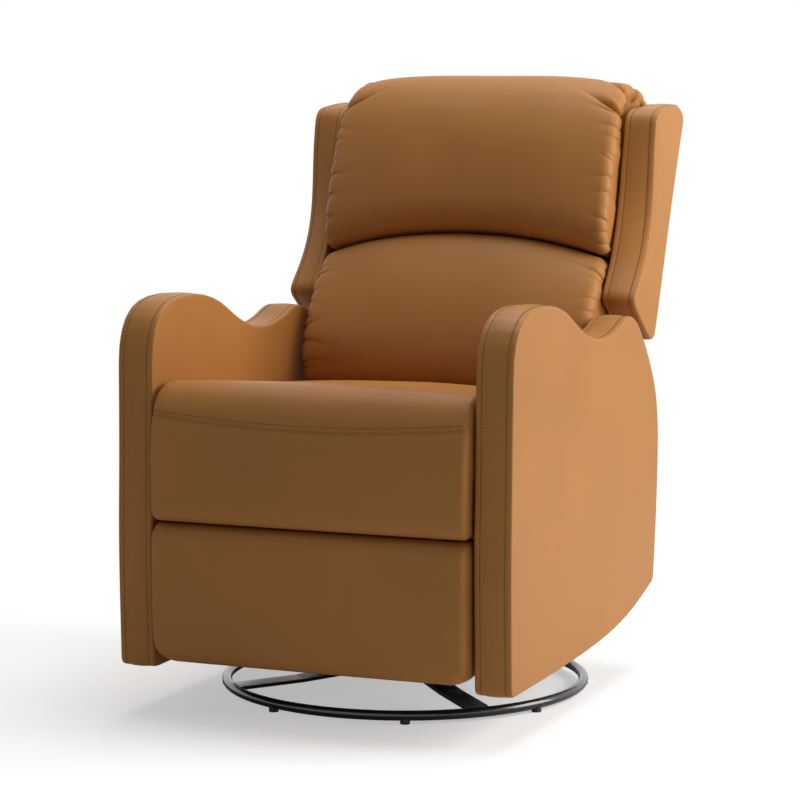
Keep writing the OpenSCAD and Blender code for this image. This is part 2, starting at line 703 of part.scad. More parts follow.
// Half width, low end, high end, depth, arch at each end, share of depth left there, its softness
function pad_point(i, j, size, arch, ends, soft) = let(
    v = (1 - cos(180 * i / pad_rings)) / 2, e = swell(v, ends, soft), h = bulge(j),
    x = across(j) * (1 - draw_share * pow(1 - h, 3)) * (1 - (1 - e) * draw_share),
    low = size[1] + arch[0] * (1 - x * x), high = size[2] + arch[1] * (1 - x * x))
    [size[0] * x, -size[3] * e * h, low + v * (high - low)];
module pad(size, arch, ends, soft) skin([for (i = [0:pad_rings], j = [0:2 * ring_points - 1])
    pad_point(i, j, size, arch, ends, soft)], pad_rings);

module front_panel() color(leather) placed() translate([0, -lap_f, 0])
    pad([half_in, crease_z + crease_gap / 2, seam_z - seat_gap / 2, front_deep - lap_f],
        [0, -seam_dip], [pinch_share, roll_share], [end_power, end_power]);

module footrest_pad() color(leather) placed() translate([0, -rest_board - rest_board_t - seat_gap, 0])
    pad([half_in, rest_low, crease_z - crease_gap / 2, front_deep - rest_board - rest_board_t - seat_gap],
        [0, 0], [roll_share, pinch_share], [end_power, end_power]);

// The seat cushion laps over the front board. Rings run from the nose to the rear end.
cushion_rings = 28;
nose_rings = 12;
function blend(t) = let(s = min(1, max(0, t))) s * s * (3 - 2 * s);
function cushion_ring(i) = i <= nose_rings
    ? let(t = i / nose_rings) lap_f + (front_deep - lap_f) * cos(90 * t)
    : let(t = (i - nose_rings - 1) / (cushion_rings - nose_rings - 1))
        lap_f - seat_gap - (lap_f - seat_gap + cushion_rear) * sin(90 * t);
function crest(f) = seat_z - seat_drop * blend((crown_f - f) / crown_f);
function cushion_point(i, j) = let(f = cushion_ring(i), h = bulge(j),
    x = across(j) * (1 - edge_share * (1 - h)),
    under = i <= nose_rings ? seam_z + seat_gap / 2 - seam_dip * (1 - x * x) : cushion_z,
    n = (f - lap_f + nose_roll) / (front_deep - lap_f + nose_roll),
    tail = (-f - cushion_rear + nose_roll) / nose_roll,
    round = pow(1 - pow(max(0, n), 3), 1 / 2) * pow(1 - pow(max(0, tail), 3) / 2, 1 / 2),
    top = under + (crest(f) - crown_drop * x * x - under) * max(nose_share, round))
    [half_in * x, -f, under + (top - under) * h];
module seat_cushion() color(leather) placed() skin([for (i = [0:cushion_rings],
    j = [0:2 * ring_points - 1]) cushion_point(i, j)], cushion_rings);

// Back: a wooden frame with wings, pads and a rear cover, on steel brackets

rear_in = back_rear - rear_inset - board_t;
module back_frame() color(ply) leaned() union() {
    for (side = [left, right]) on_side(side) {
        block([frame_half - board_t, 0, post_foot], [frame_half, rear_in - seat_gap, post_top]);
        block([frame_half - over, 0, spacer_foot], [back_x - link_t - seat_gap, board_t, bracket_top]);
    }
    for (s = [spacer_foot, pad_split, post_top - wing_block])
        block([-frame_half + board_t - over, 0, s - wing_block / 2],
            [frame_half - board_t + over, board_t, s + wing_block / 2]);
}

// Blocks on the posts carry the wings
module wing_blocks() color(ply) leaned() for (side = [left, right],
    s = [wing_foot + wing_block, post_top - wing_block])
    on_side(side) block([frame_half + seat_gap, 0, s - wing_block / 2],
        [wing_in - seat_gap, rear_in - seat_gap, s + wing_block / 2]);

module back_bracket() color(zinc) union() {
    placed() bar(back_x, [-recline_y, recline_z], [-recline_y, recline_z + link_up], bracket_w);
    leaned() block([back_x - link_t, 0, 0], [back_x, bracket_w, bracket_top]);
    placed() round_x(back_x - over, [-recline_y, recline_z], stud_d, back_x - over - plate_x + link_t);
    placed() round_x(recline_x, [-recline_y, recline_z + link_up], stud_d, recline_x - back_x + over);
}
module left_back_bracket() on_side(left) back_bracket();
module right_back_bracket() on_side(right) back_bracket();

module lumbar_pad() color(leather) leaned() translate([0, -seat_gap, 0])
    pad([wing_in - side_gap, lumbar_foot, pad_split - seat_gap / 2, lumbar_t],
        [0, split_arch], [tuck_share, taper_share], [end_power, taper_power]);
module headrest_pad() color(leather) leaned() translate([0, -seat_gap, 0])
    pad([wing_in - side_gap, pad_split + seat_gap / 2, back_up, headrest_t],
        [split_arch, top_arch], [pinch_share, roll_share], [end_power, end_power]);

module wing() color(leather) leaned() slab(wing_in, wing_t) polygon(wing_points);
module left_wing() on_side(left) wing();
module right_wing() on_side(right) wing();

// The rear cover is narrow where it dips between the arms, and it closes the top of the frame
cover_line = [[back_x - link_t, cover_foot], [back_x - link_t, wing_foot],
    [wing_in - seat_gap, wing_foot], [wing_in - seat_gap, post_top + board_t]];
module rear_cover() color(leather) leaned() union() {
    translate([0, rear_in + board_t, 0]) rotate([90, 0, 0]) linear_extrude(board_t)
        polygon(concat(cover_line, [for (i = [3:-1:0]) [-cover_line[i][0], cover_line[i][1]]]));
    block([-wing_in + seat_gap, 0, post_top + seat_gap],
        [wing_in - seat_gap, rear_in + over, post_top + board_t]);
}

// Each recline link holds the back to its rail, so the seat is pushed forward as the back leans
module recline_link() difference() {
    bar(recline_x, [-recline_y, recline_z + link_up], [-anchor[0], anchor[1]], link_w);
    round_x(recline_x + over, [-anchor[0], anchor[1]], stud_d + 2 * pin_gap, link_t + 2 * over);
    round_x(recline_x + over, [-recline_y, recline_z + link_up], stud_d + 2 * link_gap, link_t + 2 * over);
}
module recline_links() color(zinc) placed() for (side = [left, right]) on_side(side) recline_link();

// Footrest mechanism, in layers from each seat plate inwards

function layer(i) = plate_x - i * link_pitch;
// The lower of the two places at given distances from two pivots
function meet(a, ra, b, rb) = let(d = norm(b - a), along = (ra * ra - rb * rb + d * d) / (2 * d),
    u = (b - a) / d, down = sqrt(ra * ra - along * along)) a + u * along + [u[1], -u[0]] * down;
swing_at = [swing_f, swing_z];
rest_at = [rest_f, rest_z];
knee_at = meet(swing_at, swing_l, rest_at, coupler_l);
follow_at = [follow_f, follow_z];
back_at = knee_at - couple_back * (rest_at - knee_at) / norm(rest_at - knee_at);
follow_turn = atan2(back_at[1] - follow_at[1], back_at[0] - follow_at[0]);
crank_at = back_at + crank_l * [cos(follow_turn + crank_turn), sin(follow_turn + crank_turn)];
arm_at = rest_at + [-arm_back, arm_up];
module stud(x, p, reach) {
    round_x(x + link_t / 2, p, stud_d, link_t / 2 + reach + 2 * seat_gap);
    round_x(x - reach - seat_gap, p, stud_d + head_rim, head_t);
}
module bore(i, p, gap) round_x(layer(i) + over, p, stud_d + 2 * gap, link_t + 2 * over);

module drive_tube() color(steel) placed() difference() {
    round_x(plate_x + seat_gap, swing_at, drive_d, 2 * (plate_x + seat_gap));
    round_x(plate_x + over, swing_at, drive_d - 2 * rail_wall, 2 * (plate_x + over));
}

module swing_link() color(zinc) placed() difference() {
    union() {
        strip(layer(1), swing_at, knee_at, link_w);
        eye(layer(1), swing_at, drive_d + link_w / 2);
        eye(layer(1), knee_at, link_w);
        stud(layer(1) - link_t, knee_at, link_pitch);
    }
    round_x(layer(1) + over, swing_at, drive_d + 2 * pin_gap, link_t + 2 * over);
}
module left_swing_link() on_side(left) swing_link();
module right_swing_link() on_side(right) swing_link();

module follower_link() color(zinc) placed() difference() {
    union() {
        bar(layer(1), follow_at, back_at, link_w);
        strip(layer(1), back_at, crank_at, link_w);
        eye(layer(1), crank_at, link_w);
        stud(layer(1) - link_t, back_at, link_pitch);
        stud(layer(1) - link_t, crank_at, 3 * link_pitch);
    }
    bore(1, follow_at, pin_gap);
}
module left_follower_link() on_side(left) follower_link();
module right_follower_link() on_side(right) follower_link();

module coupler_link() color(zinc) placed() difference() {
    union() {
        bar(layer(2), back_at, rest_at, link_w);
        eye(layer(2), knee_at, link_w);
        stud(layer(2) - link_t, rest_at, link_pitch);
    }
    bore(2, knee_at, pin_gap);
    bore(2, back_at, open_gap);
}
module left_coupler_link() on_side(left) coupler_link();
module right_coupler_link() on_side(right) coupler_link();

module control_link() color(zinc) placed() difference() {
    bar(layer(4), crank_at, arm_at, link_w);
    bore(4, crank_at, pin_gap);
    bore(4, arm_at, open_gap);
}
module left_control_link() on_side(left) control_link();
module right_control_link() on_side(right) control_link();

module footrest_bracket() difference() {
    union() {
        bar(layer(3), rest_at, arm_at, link_w);
        block([layer(3) - link_t + emboss, -rest_board + seat_gap, rest_z - flange_h / 2],
            [layer(3) - emboss, -rest_f - link_w / 4, rest_z + flange_h / 2]);
        block([layer(3) - flange_w, -rest_board + seat_gap, rest_z - flange_h / 2],
            [layer(3) - emboss, -rest_board + seat_gap + link_t, rest_z + flange_h / 2]);
        stud(layer(3) - link_t, arm_at, link_pitch);
    }
    bore(3, rest_at, pin_gap);
}
module footrest_brackets() color(zinc) placed() for (side = [left, right]) on_side(side) footrest_bracket();

module footrest_board() color(ply) placed()
    block([-half_in + board_t, -rest_board - rest_board_t, rest_low + board_t],
        [half_in - board_t, -rest_board, crease_z - crease_gap - board_t / 2]);

base_ring();
base_spokes();
hub_plate();
floor_glides();
bearing_lower_race();
bearing_balls();
king_bolt();
bearing_upper_race();
turntable_plate();
left_rocker_track();
right_rocker_track();
rocker_springs();
left_rocker_cam();
right_rocker_cam();
front_cross_member();
rear_cross_member();
cross_bolts();
left_slide_rail();
right_slide_rail();
left_arm_frame();
right_arm_frame();
left_arm_cover();
right_arm_cover();
rear_apron();
lever_cup();
release_cable();
latch_bracket();
release_lever();
latch_pawl();
left_seat_plate();
right_seat_plate();
seat_glides();
seat_frame();
seat_springs();
seat_cushion();
front_board();
front_panel();
back_frame();
wing_blocks();
left_back_bracket();
right_back_bracket();
lumbar_pad();
headrest_pad();
left_wing();
right_wing();
rear_cover();
recline_links();
drive_tube();
left_swing_link();
right_swing_link();
left_follower_link();
right_follower_link();
left_coupler_link();
right_coupler_link();
left_control_link();
right_control_link();
footrest_brackets();
footrest_board();
footrest_pad();
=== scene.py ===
import bmesh
import bpy
from math import cos, exp, pi, radians, sin, sqrt
from mathutils import Matrix, Vector, noise


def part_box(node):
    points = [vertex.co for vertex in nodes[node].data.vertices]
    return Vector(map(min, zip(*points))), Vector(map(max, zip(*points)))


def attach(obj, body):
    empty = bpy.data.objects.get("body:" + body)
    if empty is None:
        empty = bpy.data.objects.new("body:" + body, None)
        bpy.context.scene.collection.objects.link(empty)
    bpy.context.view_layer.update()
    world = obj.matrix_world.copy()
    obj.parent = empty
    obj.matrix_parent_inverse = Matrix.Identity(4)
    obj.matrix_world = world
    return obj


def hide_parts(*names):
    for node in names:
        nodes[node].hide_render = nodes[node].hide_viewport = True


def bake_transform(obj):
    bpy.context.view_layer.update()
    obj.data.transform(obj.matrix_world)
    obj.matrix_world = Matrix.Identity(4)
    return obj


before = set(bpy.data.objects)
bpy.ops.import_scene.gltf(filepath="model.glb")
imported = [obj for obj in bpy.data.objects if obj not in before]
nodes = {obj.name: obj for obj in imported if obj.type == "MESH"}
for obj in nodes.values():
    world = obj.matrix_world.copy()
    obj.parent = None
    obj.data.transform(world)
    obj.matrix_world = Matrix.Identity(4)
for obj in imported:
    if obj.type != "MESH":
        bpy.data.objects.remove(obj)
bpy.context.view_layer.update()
scene = bpy.context.scene
mm = 0.001

# The studio: a pale floor, a soft light from the sitter's left, one from above and a camera that
# stands where the photograph was taken. The base ring's middle gives the swivel axis.
scene.view_settings.view_transform = "Standard"
ring_low, ring_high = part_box("base_ring")
axis_y = (ring_low[1] + ring_high[1]) / 2
camera = bpy.data.objects.new("camera", bpy.data.cameras.new("camera"))
camera.data.lens = 130.72
camera.location = (1.8464, axis_y - 4.4477, 1.0425)
camera.rotation_euler = (radians(90 - 6.64), 0, radians(22.65))
scene.collection.objects.link(camera)
scene.camera = camera


def soft_light(name, place, aim, size, power):
    """A rectangular area light at a place, turned to face a point."""
    lamp = bpy.data.lights.new(name, "AREA")
    lamp.shape = "RECTANGLE"
    lamp.size, lamp.size_y = size
    lamp.energy = power
    light = bpy.data.objects.new(name, lamp)
    light.location = place
    light.rotation_euler = (Vector(aim) - Vector(place)).to_track_quat("-Z", "Y").to_euler()
    scene.collection.objects.link(light)


soft_light("side_light", (3.2, 0.95, 1.6), (0, 0, 0.5), (2.0, 2.4), 110)
soft_light("top_light", (0.1, 0.45, 3.2), (0, 0, 0.4), (2.0, 2.0), 46)


def add_node(tree, kind, inputs=None, **settings):
    """A shader node with its settings, whose inputs take constants or links from other nodes."""
    node = tree.nodes.new(kind)
    for key, value in settings.items():
        setattr(node, key, value)
    for key, value in (inputs or {}).items():
        if isinstance(value, bpy.types.NodeSocket):
            tree.links.new(value, node.inputs[key])
        else:
            node.inputs[key].default_value = value
    return node


def new_material(name):
    """An empty material and its node tree."""
    material = bpy.data.materials.new(name)
    material.use_nodes = True
    material.node_tree.nodes.clear()
    return material, material.node_tree


room_light = 0.21
world = bpy.data.worlds.new("studio")
world.use_nodes = True
world.node_tree.nodes.clear()
scene.world = world
tree = world.node_tree
path = add_node(tree, "ShaderNodeLightPath")
seen = add_node(tree, "ShaderNodeMath", {0: path.outputs["Is Camera Ray"],
    1: path.outputs["Is Glossy Ray"]}, operation="MAXIMUM")
seen = add_node(tree, "ShaderNodeMath", {0: seen.outputs[0],
    1: path.outputs["Is Transmission Ray"]}, operation="MAXIMUM")
level = add_node(tree, "ShaderNodeMapRange", {"Value": seen.outputs[0], "To Min": room_light})
backdrop = add_node(tree, "ShaderNodeBackground", {"Color": (1, 1, 1, 1),
    "Strength": level.outputs[0]})
add_node(tree, "ShaderNodeOutputWorld", {"Surface": backdrop.outputs[0]})

# The floor keeps the chair's shadow and fades to plain white further out
floor_glow = 0.45
floor_mesh = bpy.data.meshes.new("floor")
bm = bmesh.new()
bmesh.ops.create_circle(bm, cap_ends=True, radius=14, segments=96)
bm.to_mesh(floor_mesh)
bm.free()
floor = bpy.data.objects.new("floor", floor_mesh)
scene.collection.objects.link(floor)
pale_floor, tree = new_material("pale_floor")
spot = add_node(tree, "ShaderNodeTexCoord")
reach = add_node(tree, "ShaderNodeVectorMath", {0: spot.outputs["Object"]}, operation="LENGTH")
far = add_node(tree, "ShaderNodeMapRange", {"Value": reach.outputs["Value"], "From Min": 0.5,
    "From Max": 1.3})
path = add_node(tree, "ShaderNodeLightPath")
far = add_node(tree, "ShaderNodeMath", {0: far.outputs[0], 1: path.outputs["Is Camera Ray"]},
    operation="MULTIPLY")
matt = add_node(tree, "ShaderNodeBsdfDiffuse", {"Color": (0.8, 0.8, 0.8, 1)})
lift = add_node(tree, "ShaderNodeMath", {0: path.outputs["Is Camera Ray"], 1: floor_glow},
    operation="MULTIPLY")
lift = add_node(tree, "ShaderNodeEmission", {"Color": (1, 1, 1, 1), "Strength": lift.outputs[0]})
near = add_node(tree, "ShaderNodeAddShader", {0: matt.outputs[0], 1: lift.outputs[0]})
white = add_node(tree, "ShaderNodeEmission", {"Color": (1, 1, 1, 1), "Strength": 1.0})
mix = add_node(tree, "ShaderNodeMixShader", {0: far.outputs[0], 1: near.outputs[0],
    2: white.outputs[0]})
add_node(tree, "ShaderNodeOutputMaterial", {"Surface": mix.outputs[0]})
floor_mesh.materials.append(pale_floor)


# Painted steel: the ring base, hub, turntable, tracks, cams, cross members, rails and drive tube
# are mild steel, welded and stove enamelled in gloss black, which leaves a fine orange peel.
def new_group(name, inputs, outputs):
    """A node group with its sockets, its input node and its output node."""
    group = bpy.data.node_groups.new(name, "ShaderNodeTree")
    for label, value in inputs.items():
        kind = "NodeSocketColor" if isinstance(value, tuple) else "NodeSocketFloat"
        group.interface.new_socket(label, in_out="INPUT", socket_type=kind).default_value = value
    for label, kind in outputs.items():
        group.interface.new_socket(label, in_out="OUTPUT", socket_type=kind)
    return group, add_node(group, "NodeGroupInput"), add_node(group, "NodeGroupOutput")


# Fine unevenness and wiped dust, for every hard finish
wear_group, take, give = new_group("surface_wear",
    {"Colour": (0.5, 0.5, 0.5, 1), "Worn colour": (0.6, 0.6, 0.6, 1), "Roughness": 0.3,
        "Spread": 0.1, "Amount": 0.2},
    {"Colour": "NodeSocketColor", "Roughness": "NodeSocketFloat", "Height": "NodeSocketFloat"})
spot = add_node(wear_group, "ShaderNodeTexCoord")
broad = add_node(wear_group, "ShaderNodeTexNoise", {"Vector": spot.outputs["Object"],
    "Scale": 9.0, "Detail": 4.0, "Roughness": 0.6})
fine = add_node(wear_group, "ShaderNodeTexNoise", {"Vector": spot.outputs["Object"],
    "Scale": 260.0, "Detail": 3.0})
mask = add_node(wear_group, "ShaderNodeMapRange", {"Value": broad.outputs["Fac"],
    "From Min": 0.45, "From Max": 0.75})
mask = add_node(wear_group, "ShaderNodeMath", {0: mask.outputs[0], 1: take.outputs["Amount"]},
    operation="MULTIPLY")
shade = add_node(wear_group, "ShaderNodeMix", {0: mask.outputs[0], 6: take.outputs["Colour"],
    7: take.outputs["Worn colour"]}, data_type="RGBA")
rough = add_node(wear_group, "ShaderNodeMath", {0: fine.outputs["Fac"], 1: take.outputs["Spread"],
    2: take.outputs["Roughness"]}, operation="MULTIPLY_ADD")
for label, value in {"Colour": shade.outputs[2], "Roughness": rough.outputs[0],
        "Height": fine.outputs["Fac"]}.items():
    wear_group.links.new(value, give.inputs[label])


def hard_finish(name, colour, worn, roughness, spread, amount, bump, metallic=0.0, coat=0.0):
    """A hard material whose colour and roughness vary with wear, over a fine bump."""
    material, tree = new_material(name)
    worn_look = add_node(tree, "ShaderNodeGroup", node_tree=wear_group)
    for label, value in {"Colour": colour, "Worn colour": worn, "Roughness": roughness,
            "Spread": spread, "Amount": amount}.items():
        worn_look.inputs[label].default_value = value
    raised = add_node(tree, "ShaderNodeBump", {"Height": worn_look.outputs["Height"],
        "Strength": bump, "Distance": 0.2 * mm})
    skin = add_node(tree, "ShaderNodeBsdfPrincipled", {"Base Color": worn_look.outputs["Colour"],
        "Roughness": worn_look.outputs["Roughness"], "Normal": raised.outputs[0],
        "Metallic": metallic, "Coat Weight": coat, "Coat Roughness": 0.08})
    add_node(tree, "ShaderNodeOutputMaterial", {"Surface": skin.outputs[0]})
    return material


def finish_nodes(material, *names):
    """Gives CAD nodes, which keep their own shape, a material."""
    for name in names:
        nodes[name].data.materials.clear()
        nodes[name].data.materials.append(material)


def both(name):
    """The names of a left and a right CAD node."""
    return "left_" + name, "right_" + name


black_enamel = hard_finish("black_enamel", (0.010, 0.010, 0.011, 1), (0.03, 0.03, 0.03, 1),
    roughness=0.16, spread=0.14, amount=0.4, bump=0.12, coat=0.5)
finish_nodes(black_enamel, "base_ring", "base_spokes", "hub_plate", "turntable_plate",
    "front_cross_member", "rear_cross_member", "drive_tube", *both("rocker_track"),
    *both("rocker_cam"), *both("slide_rail"))

# Zinc plated steel: the bearing, the bolts, the springs and every plate and link of the recline
# and footrest mechanism, stamped and left bright.
zinc = hard_finish("zinc", (0.52, 0.53, 0.54, 1), (0.36, 0.36, 0.35, 1), roughness=0.30,
    spread=0.16, amount=0.6, bump=0.25, metallic=0.9)
finish_nodes(zinc, "bearing_lower_race", "bearing_upper_race", "bearing_balls", "king_bolt",
    "cross_bolts", "latch_bracket", "latch_pawl", "seat_springs",
    "recline_links", "footrest_brackets", *both("seat_plate"), *both("back_bracket"),
    *both("swing_link"), *both("follower_link"), *both("coupler_link"), *both("control_link"))

# Rocker springs: four coils of zinc plated wire between the tracks and the cams, which bend as
# the chair rocks. This is a welded copy of the CAD mesh.
weld = 0.01 * mm
bm = bmesh.new()
bm.from_mesh(nodes["rocker_springs"].data)
bmesh.ops.remove_doubles(bm, verts=bm.verts, dist=weld)
coil_mesh = bpy.data.meshes.new("rocker_coils")
bm.to_mesh(coil_mesh)
bm.free()
coil_mesh.materials.append(zinc)
coils = bpy.data.objects.new("rocker_coils", coil_mesh)
scene.collection.objects.link(coils)
low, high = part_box("rocker_springs")
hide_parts("rocker_springs")
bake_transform(coils)

# Moulded nylon: the floor glides, the seat glides, the lever with its cup, and the cable's
# jacket, black right through and left matt, as they come out of the mould.
nylon = hard_finish("nylon", (0.022, 0.022, 0.023, 1), (0.05, 0.05, 0.05, 1), roughness=0.42,
    spread=0.2, amount=0.5, bump=0.4)
finish_nodes(nylon, "floor_glides", "seat_glides", "lever_cup", "release_lever", "release_cable")

# Plywood: the frames inside arms, seat and back, the wing blocks and the boards behind the front
# and the footrest, sawn from sheet and left bare, with thin plies and a faint grain.
plywood, tree = new_material("plywood")
spot = add_node(tree, "ShaderNodeTexCoord")
along = add_node(tree, "ShaderNodeMapping", {"Vector": spot.outputs["Object"],
    "Scale": (6, 40, 240)})
grain = add_node(tree, "ShaderNodeTexNoise", {"Vector": along.outputs[0], "Scale": 1.0,
    "Detail": 6.0, "Distortion": 0.6})
tone = add_node(tree, "ShaderNodeValToRGB", {"Fac": grain.outputs["Fac"]})
tone.color_ramp.elements[0].color = (0.45, 0.30, 0.155, 1)
tone.color_ramp.elements[0].position = 0.3
tone.color_ramp.elements[1].color = (0.60, 0.43, 0.245, 1)
tone.color_ramp.elements[1].position = 0.7
raised = add_node(tree, "ShaderNodeBump", {"Height": grain.outputs["Fac"], "Strength": 0.3,
    "Distance": 0.4 * mm})
board = add_node(tree, "ShaderNodeBsdfPrincipled", {"Base Color": tone.outputs[0],
    "Roughness": 0.6, "Normal": raised.outputs[0]})
add_node(tree, "ShaderNodeOutputMaterial", {"Surface": board.outputs[0]})
finish_nodes(plywood, "seat_frame", "front_board", "back_frame", "wing_blocks", "footrest_board",
    *both("arm_frame"))

# Upholstery leather: a smooth caramel faux leather over foam, with a fine pore, soft creases and
# painted shade in every seam. Each piece carries the painted shade of its seams as an attribute.
leather, tree = new_material("caramel_leather")
grain_and_seam_shade_group, take, give = new_group("leather_grain_and_seam_shade",
    {"Colour": (0.4, 0.2, 0.1, 1), "Shade": 0.1, "Seam": 0.0, "Pore size": 700.0},
    {"Colour": "NodeSocketColor", "Roughness": "NodeSocketFloat", "Height": "NodeSocketFloat"})
spot = add_node(grain_and_seam_shade_group, "ShaderNodeTexCoord")
broad = add_node(grain_and_seam_shade_group, "ShaderNodeTexNoise", {"Vector": spot.outputs["Object"],
    "Scale": 5.0, "Detail": 3.0, "Roughness": 0.55})
fleck = add_node(grain_and_seam_shade_group, "ShaderNodeTexNoise", {"Vector": spot.outputs["Object"],
    "Scale": 420.0, "Detail": 2.0})
pore = add_node(grain_and_seam_shade_group, "ShaderNodeTexVoronoi", {"Vector": spot.outputs["Object"],
    "Scale": take.outputs["Pore size"], "Randomness": 1.0}, feature="F1")
crease = add_node(grain_and_seam_shade_group, "ShaderNodeTexVoronoi", {"Vector": spot.outputs["Object"],
    "Scale": 420.0}, feature="DISTANCE_TO_EDGE")
change = add_node(grain_and_seam_shade_group, "ShaderNodeMapRange", {"Value": broad.outputs["Fac"],
    "From Min": 0.3, "From Max": 0.7, "To Min": 0.95, "To Max": 1.05})
speck = add_node(grain_and_seam_shade_group, "ShaderNodeMapRange", {"Value": fleck.outputs["Fac"],
    "From Min": 0.3, "From Max": 0.7, "To Min": 0.97, "To Max": 1.03})
change = add_node(grain_and_seam_shade_group, "ShaderNodeMath", {0: change.outputs[0], 1: speck.outputs[0]},
    operation="MULTIPLY")
# Painted shade: the colour darkens by up to a fifth where the attribute marks a seam groove
deep = add_node(grain_and_seam_shade_group, "ShaderNodeMath", {0: take.outputs["Seam"], 1: -0.2, 2: 1.0},
    operation="MULTIPLY_ADD")
change = add_node(grain_and_seam_shade_group, "ShaderNodeMath", {0: change.outputs[0], 1: deep.outputs[0]},
    operation="MULTIPLY")
tint = add_node(grain_and_seam_shade_group, "ShaderNodeVectorMath", {0: take.outputs["Colour"],
    1: change.outputs[0]}, operation="MULTIPLY")
folds = add_node(grain_and_seam_shade_group, "ShaderNodeMapRange", {"Value": crease.outputs["Distance"],
    "From Min": 0.0, "From Max": 0.12})
height = add_node(grain_and_seam_shade_group, "ShaderNodeMath", {0: pore.outputs["Distance"], 1: 0.5,
    2: folds.outputs[0]}, operation="MULTIPLY_ADD")
rough = add_node(grain_and_seam_shade_group, "ShaderNodeMapRange", {"Value": broad.outputs["Fac"],
    "From Min": 0.3, "From Max": 0.7, "To Min": 0.40, "To Max": 0.50})
for label, value in {"Colour": tint.outputs[0], "Roughness": rough.outputs[0],
        "Height": height.outputs[0]}.items():
    grain_and_seam_shade_group.links.new(value, give.inputs[label])

# The seam attribute is painted shade, drawn in the seam grooves and along the stitch channels
painted_seam_shade = add_node(tree, "ShaderNodeAttribute", attribute_name="seam")
look = add_node(tree, "ShaderNodeGroup", node_tree=grain_and_seam_shade_group)
look.inputs["Colour"].default_value = (0.43, 0.183, 0.046, 1)
look.inputs["Pore size"].default_value = 900.0
tree.links.new(painted_seam_shade.outputs["Fac"], look.inputs["Seam"])
raised = add_node(tree, "ShaderNodeBump", {"Height": look.outputs["Height"], "Strength": 0.10,
    "Distance": 0.25 * mm})
hide = add_node(tree, "ShaderNodeBsdfPrincipled", {"Base Color": look.outputs["Colour"],
    "Roughness": look.outputs["Roughness"], "Normal": raised.outputs[0],
    "Specular IOR Level": 0.2, "Sheen Weight": 0.03, "Sheen Roughness": 0.5,
    "Sheen Tint": (0.8, 0.5, 0.3, 1)})
add_node(tree, "ShaderNodeOutputMaterial", {"Surface": hide.outputs[0]})

# The thread of the topstitching, darker than the leather
thread = hard_finish("tan_thread", (0.085, 0.030, 0.009, 1), (0.06, 0.022, 0.007, 1),
    roughness=0.7, spread=0.2, amount=0.3, bump=0.5)


# Arms: a wooden frame in foam, covered with an inner and an outer side panel and a band between
# them that runs over the front, the top and the rear. Both seams of the band are topstitched.
def cut_outline(node, x):
    """The outer edge of a CAD node where the plane at x cuts it, as points in order."""
    bm = bmesh.new()
    bm.from_mesh(nodes[node].data)
    bmesh.ops.remove_doubles(bm, verts=bm.verts, dist=weld)
    cut = bmesh.ops.bisect_plane(bm, geom=bm.verts[:] + bm.edges[:] + bm.faces[:],
        dist=0.1 * weld, plane_co=(x, 0, 0), plane_no=(1, 0, 0), clear_inner=True,
        clear_outer=True)
    edges = dict.fromkeys(e for e in cut["geom_cut"] if isinstance(e, bmesh.types.BMEdge))
    loops = []
    while edges:
        edge = edges.popitem()[0]
        loop = [edge.verts[0], edge.verts[1]]
        while loop[-1] is not loop[0]:
            step = next((e for e in loop[-1].link_edges if e in edges), None)
            if step is None:
                break
            del edges[step]
            loop.append(step.other_vert(loop[-1]))
        loops.append([v.co.yz.copy() for v in loop[:-1]])
    bm.free()
    return max(loops, key=lambda loop: max(p.x for p in loop) - min(p.x for p in loop))


def even_loop(points, step, soften):
    """The closed line through the points at even steps, softened over a length."""
    turned = sum(a.x * b.y - b.x * a.y for a, b in zip(points, points[1:] + points[:1]))
    points = points if turned > 0 else points[::-1]
    lengths = [(b - a).length for a, b in zip(points, points[1:] + points[:1])]
    count = round(sum(lengths) / step)
    step = sum(lengths) / count
    line, spent, i = [], 0.0, 0
    for k in range(count):
        while k * step > spent + lengths[i]:
            spent += lengths[i]
            i += 1
        share = (k * step - spent) / lengths[i]
        line.append(points[i].lerp(points[(i + 1) % len(points)], share))
    reach = max(1, round(2 * soften / step))
    weights = [exp(-((j * step / soften) ** 2) / 2) for j in range(-reach, reach + 1)]
    return [sum((line[(k + j) % count] * w for j, w in zip(range(-reach, reach + 1), weights)),
        Vector((0, 0))) / sum(weights) for k in range(count)]


def outward(line):
    """Unit normals of a closed line that runs anticlockwise."""
    n = len(line)
    turn = [(line[(k + 1) % n] - line[k - 1]).normalized() for k in range(n)]
    return [Vector((t.y, -t.x)) for t in turn]


def bump_out(t, points):
    """Reads a profile of (distance, height) points at distance t."""
    for (a, low), (b, high) in zip(points, points[1:]):
        if t <= b:
            share = max(0.0, (t - a) / (b - a))
            return low + (high - low) * share * share * (3 - 2 * share)
    return points[-1][1]


# How deep a seam lies below band and panel, how wide its painted shade line is, and where its
# stitches run, with the share of painted shade their channel gets
seam_drop, seam_side, painted_shade_width, stitch_in, stitch_painted_shade = 1.3 * mm, 1.3 * mm, mm, 9 * mm, 0.3
# Height of a panel and of a band at distances in from their seam
panel_profile = ((0, -seam_side), (2.2 * mm, -0.2 * mm), (6 * mm, 0.1 * mm), (40 * mm, 0.9 * mm),
    (150 * mm, 1.3 * mm))
band_profile = ((0, -seam_drop), (2.2 * mm, -0.2 * mm), (4.5 * mm, 0.1 * mm),
    (7.6 * mm, 0.2 * mm), (stitch_in, -0.3 * mm), (10.5 * mm, 0.2 * mm), (20 * mm, 1.2 * mm),
    (31 * mm, 1.6 * mm))
# Steps in from a panel's edge, then how much each ring nearer its middle shrinks
inset_steps = [s * mm for s in (0.4, 0.5, 0.7, 0.9, 1.1)]
centre_shares = (0.97, 0.95, 0.92, 0.88, 0.82, 0.75, 0.65, 0.5)
panel_reach = 180 * mm


def soft_waves(place, size, depth, seed):
    """A slow, even unevenness, as foam under a cover gives."""
    return depth * noise.noise(Vector(place) / size + Vector((seed, 2 * seed, 3 * seed)))


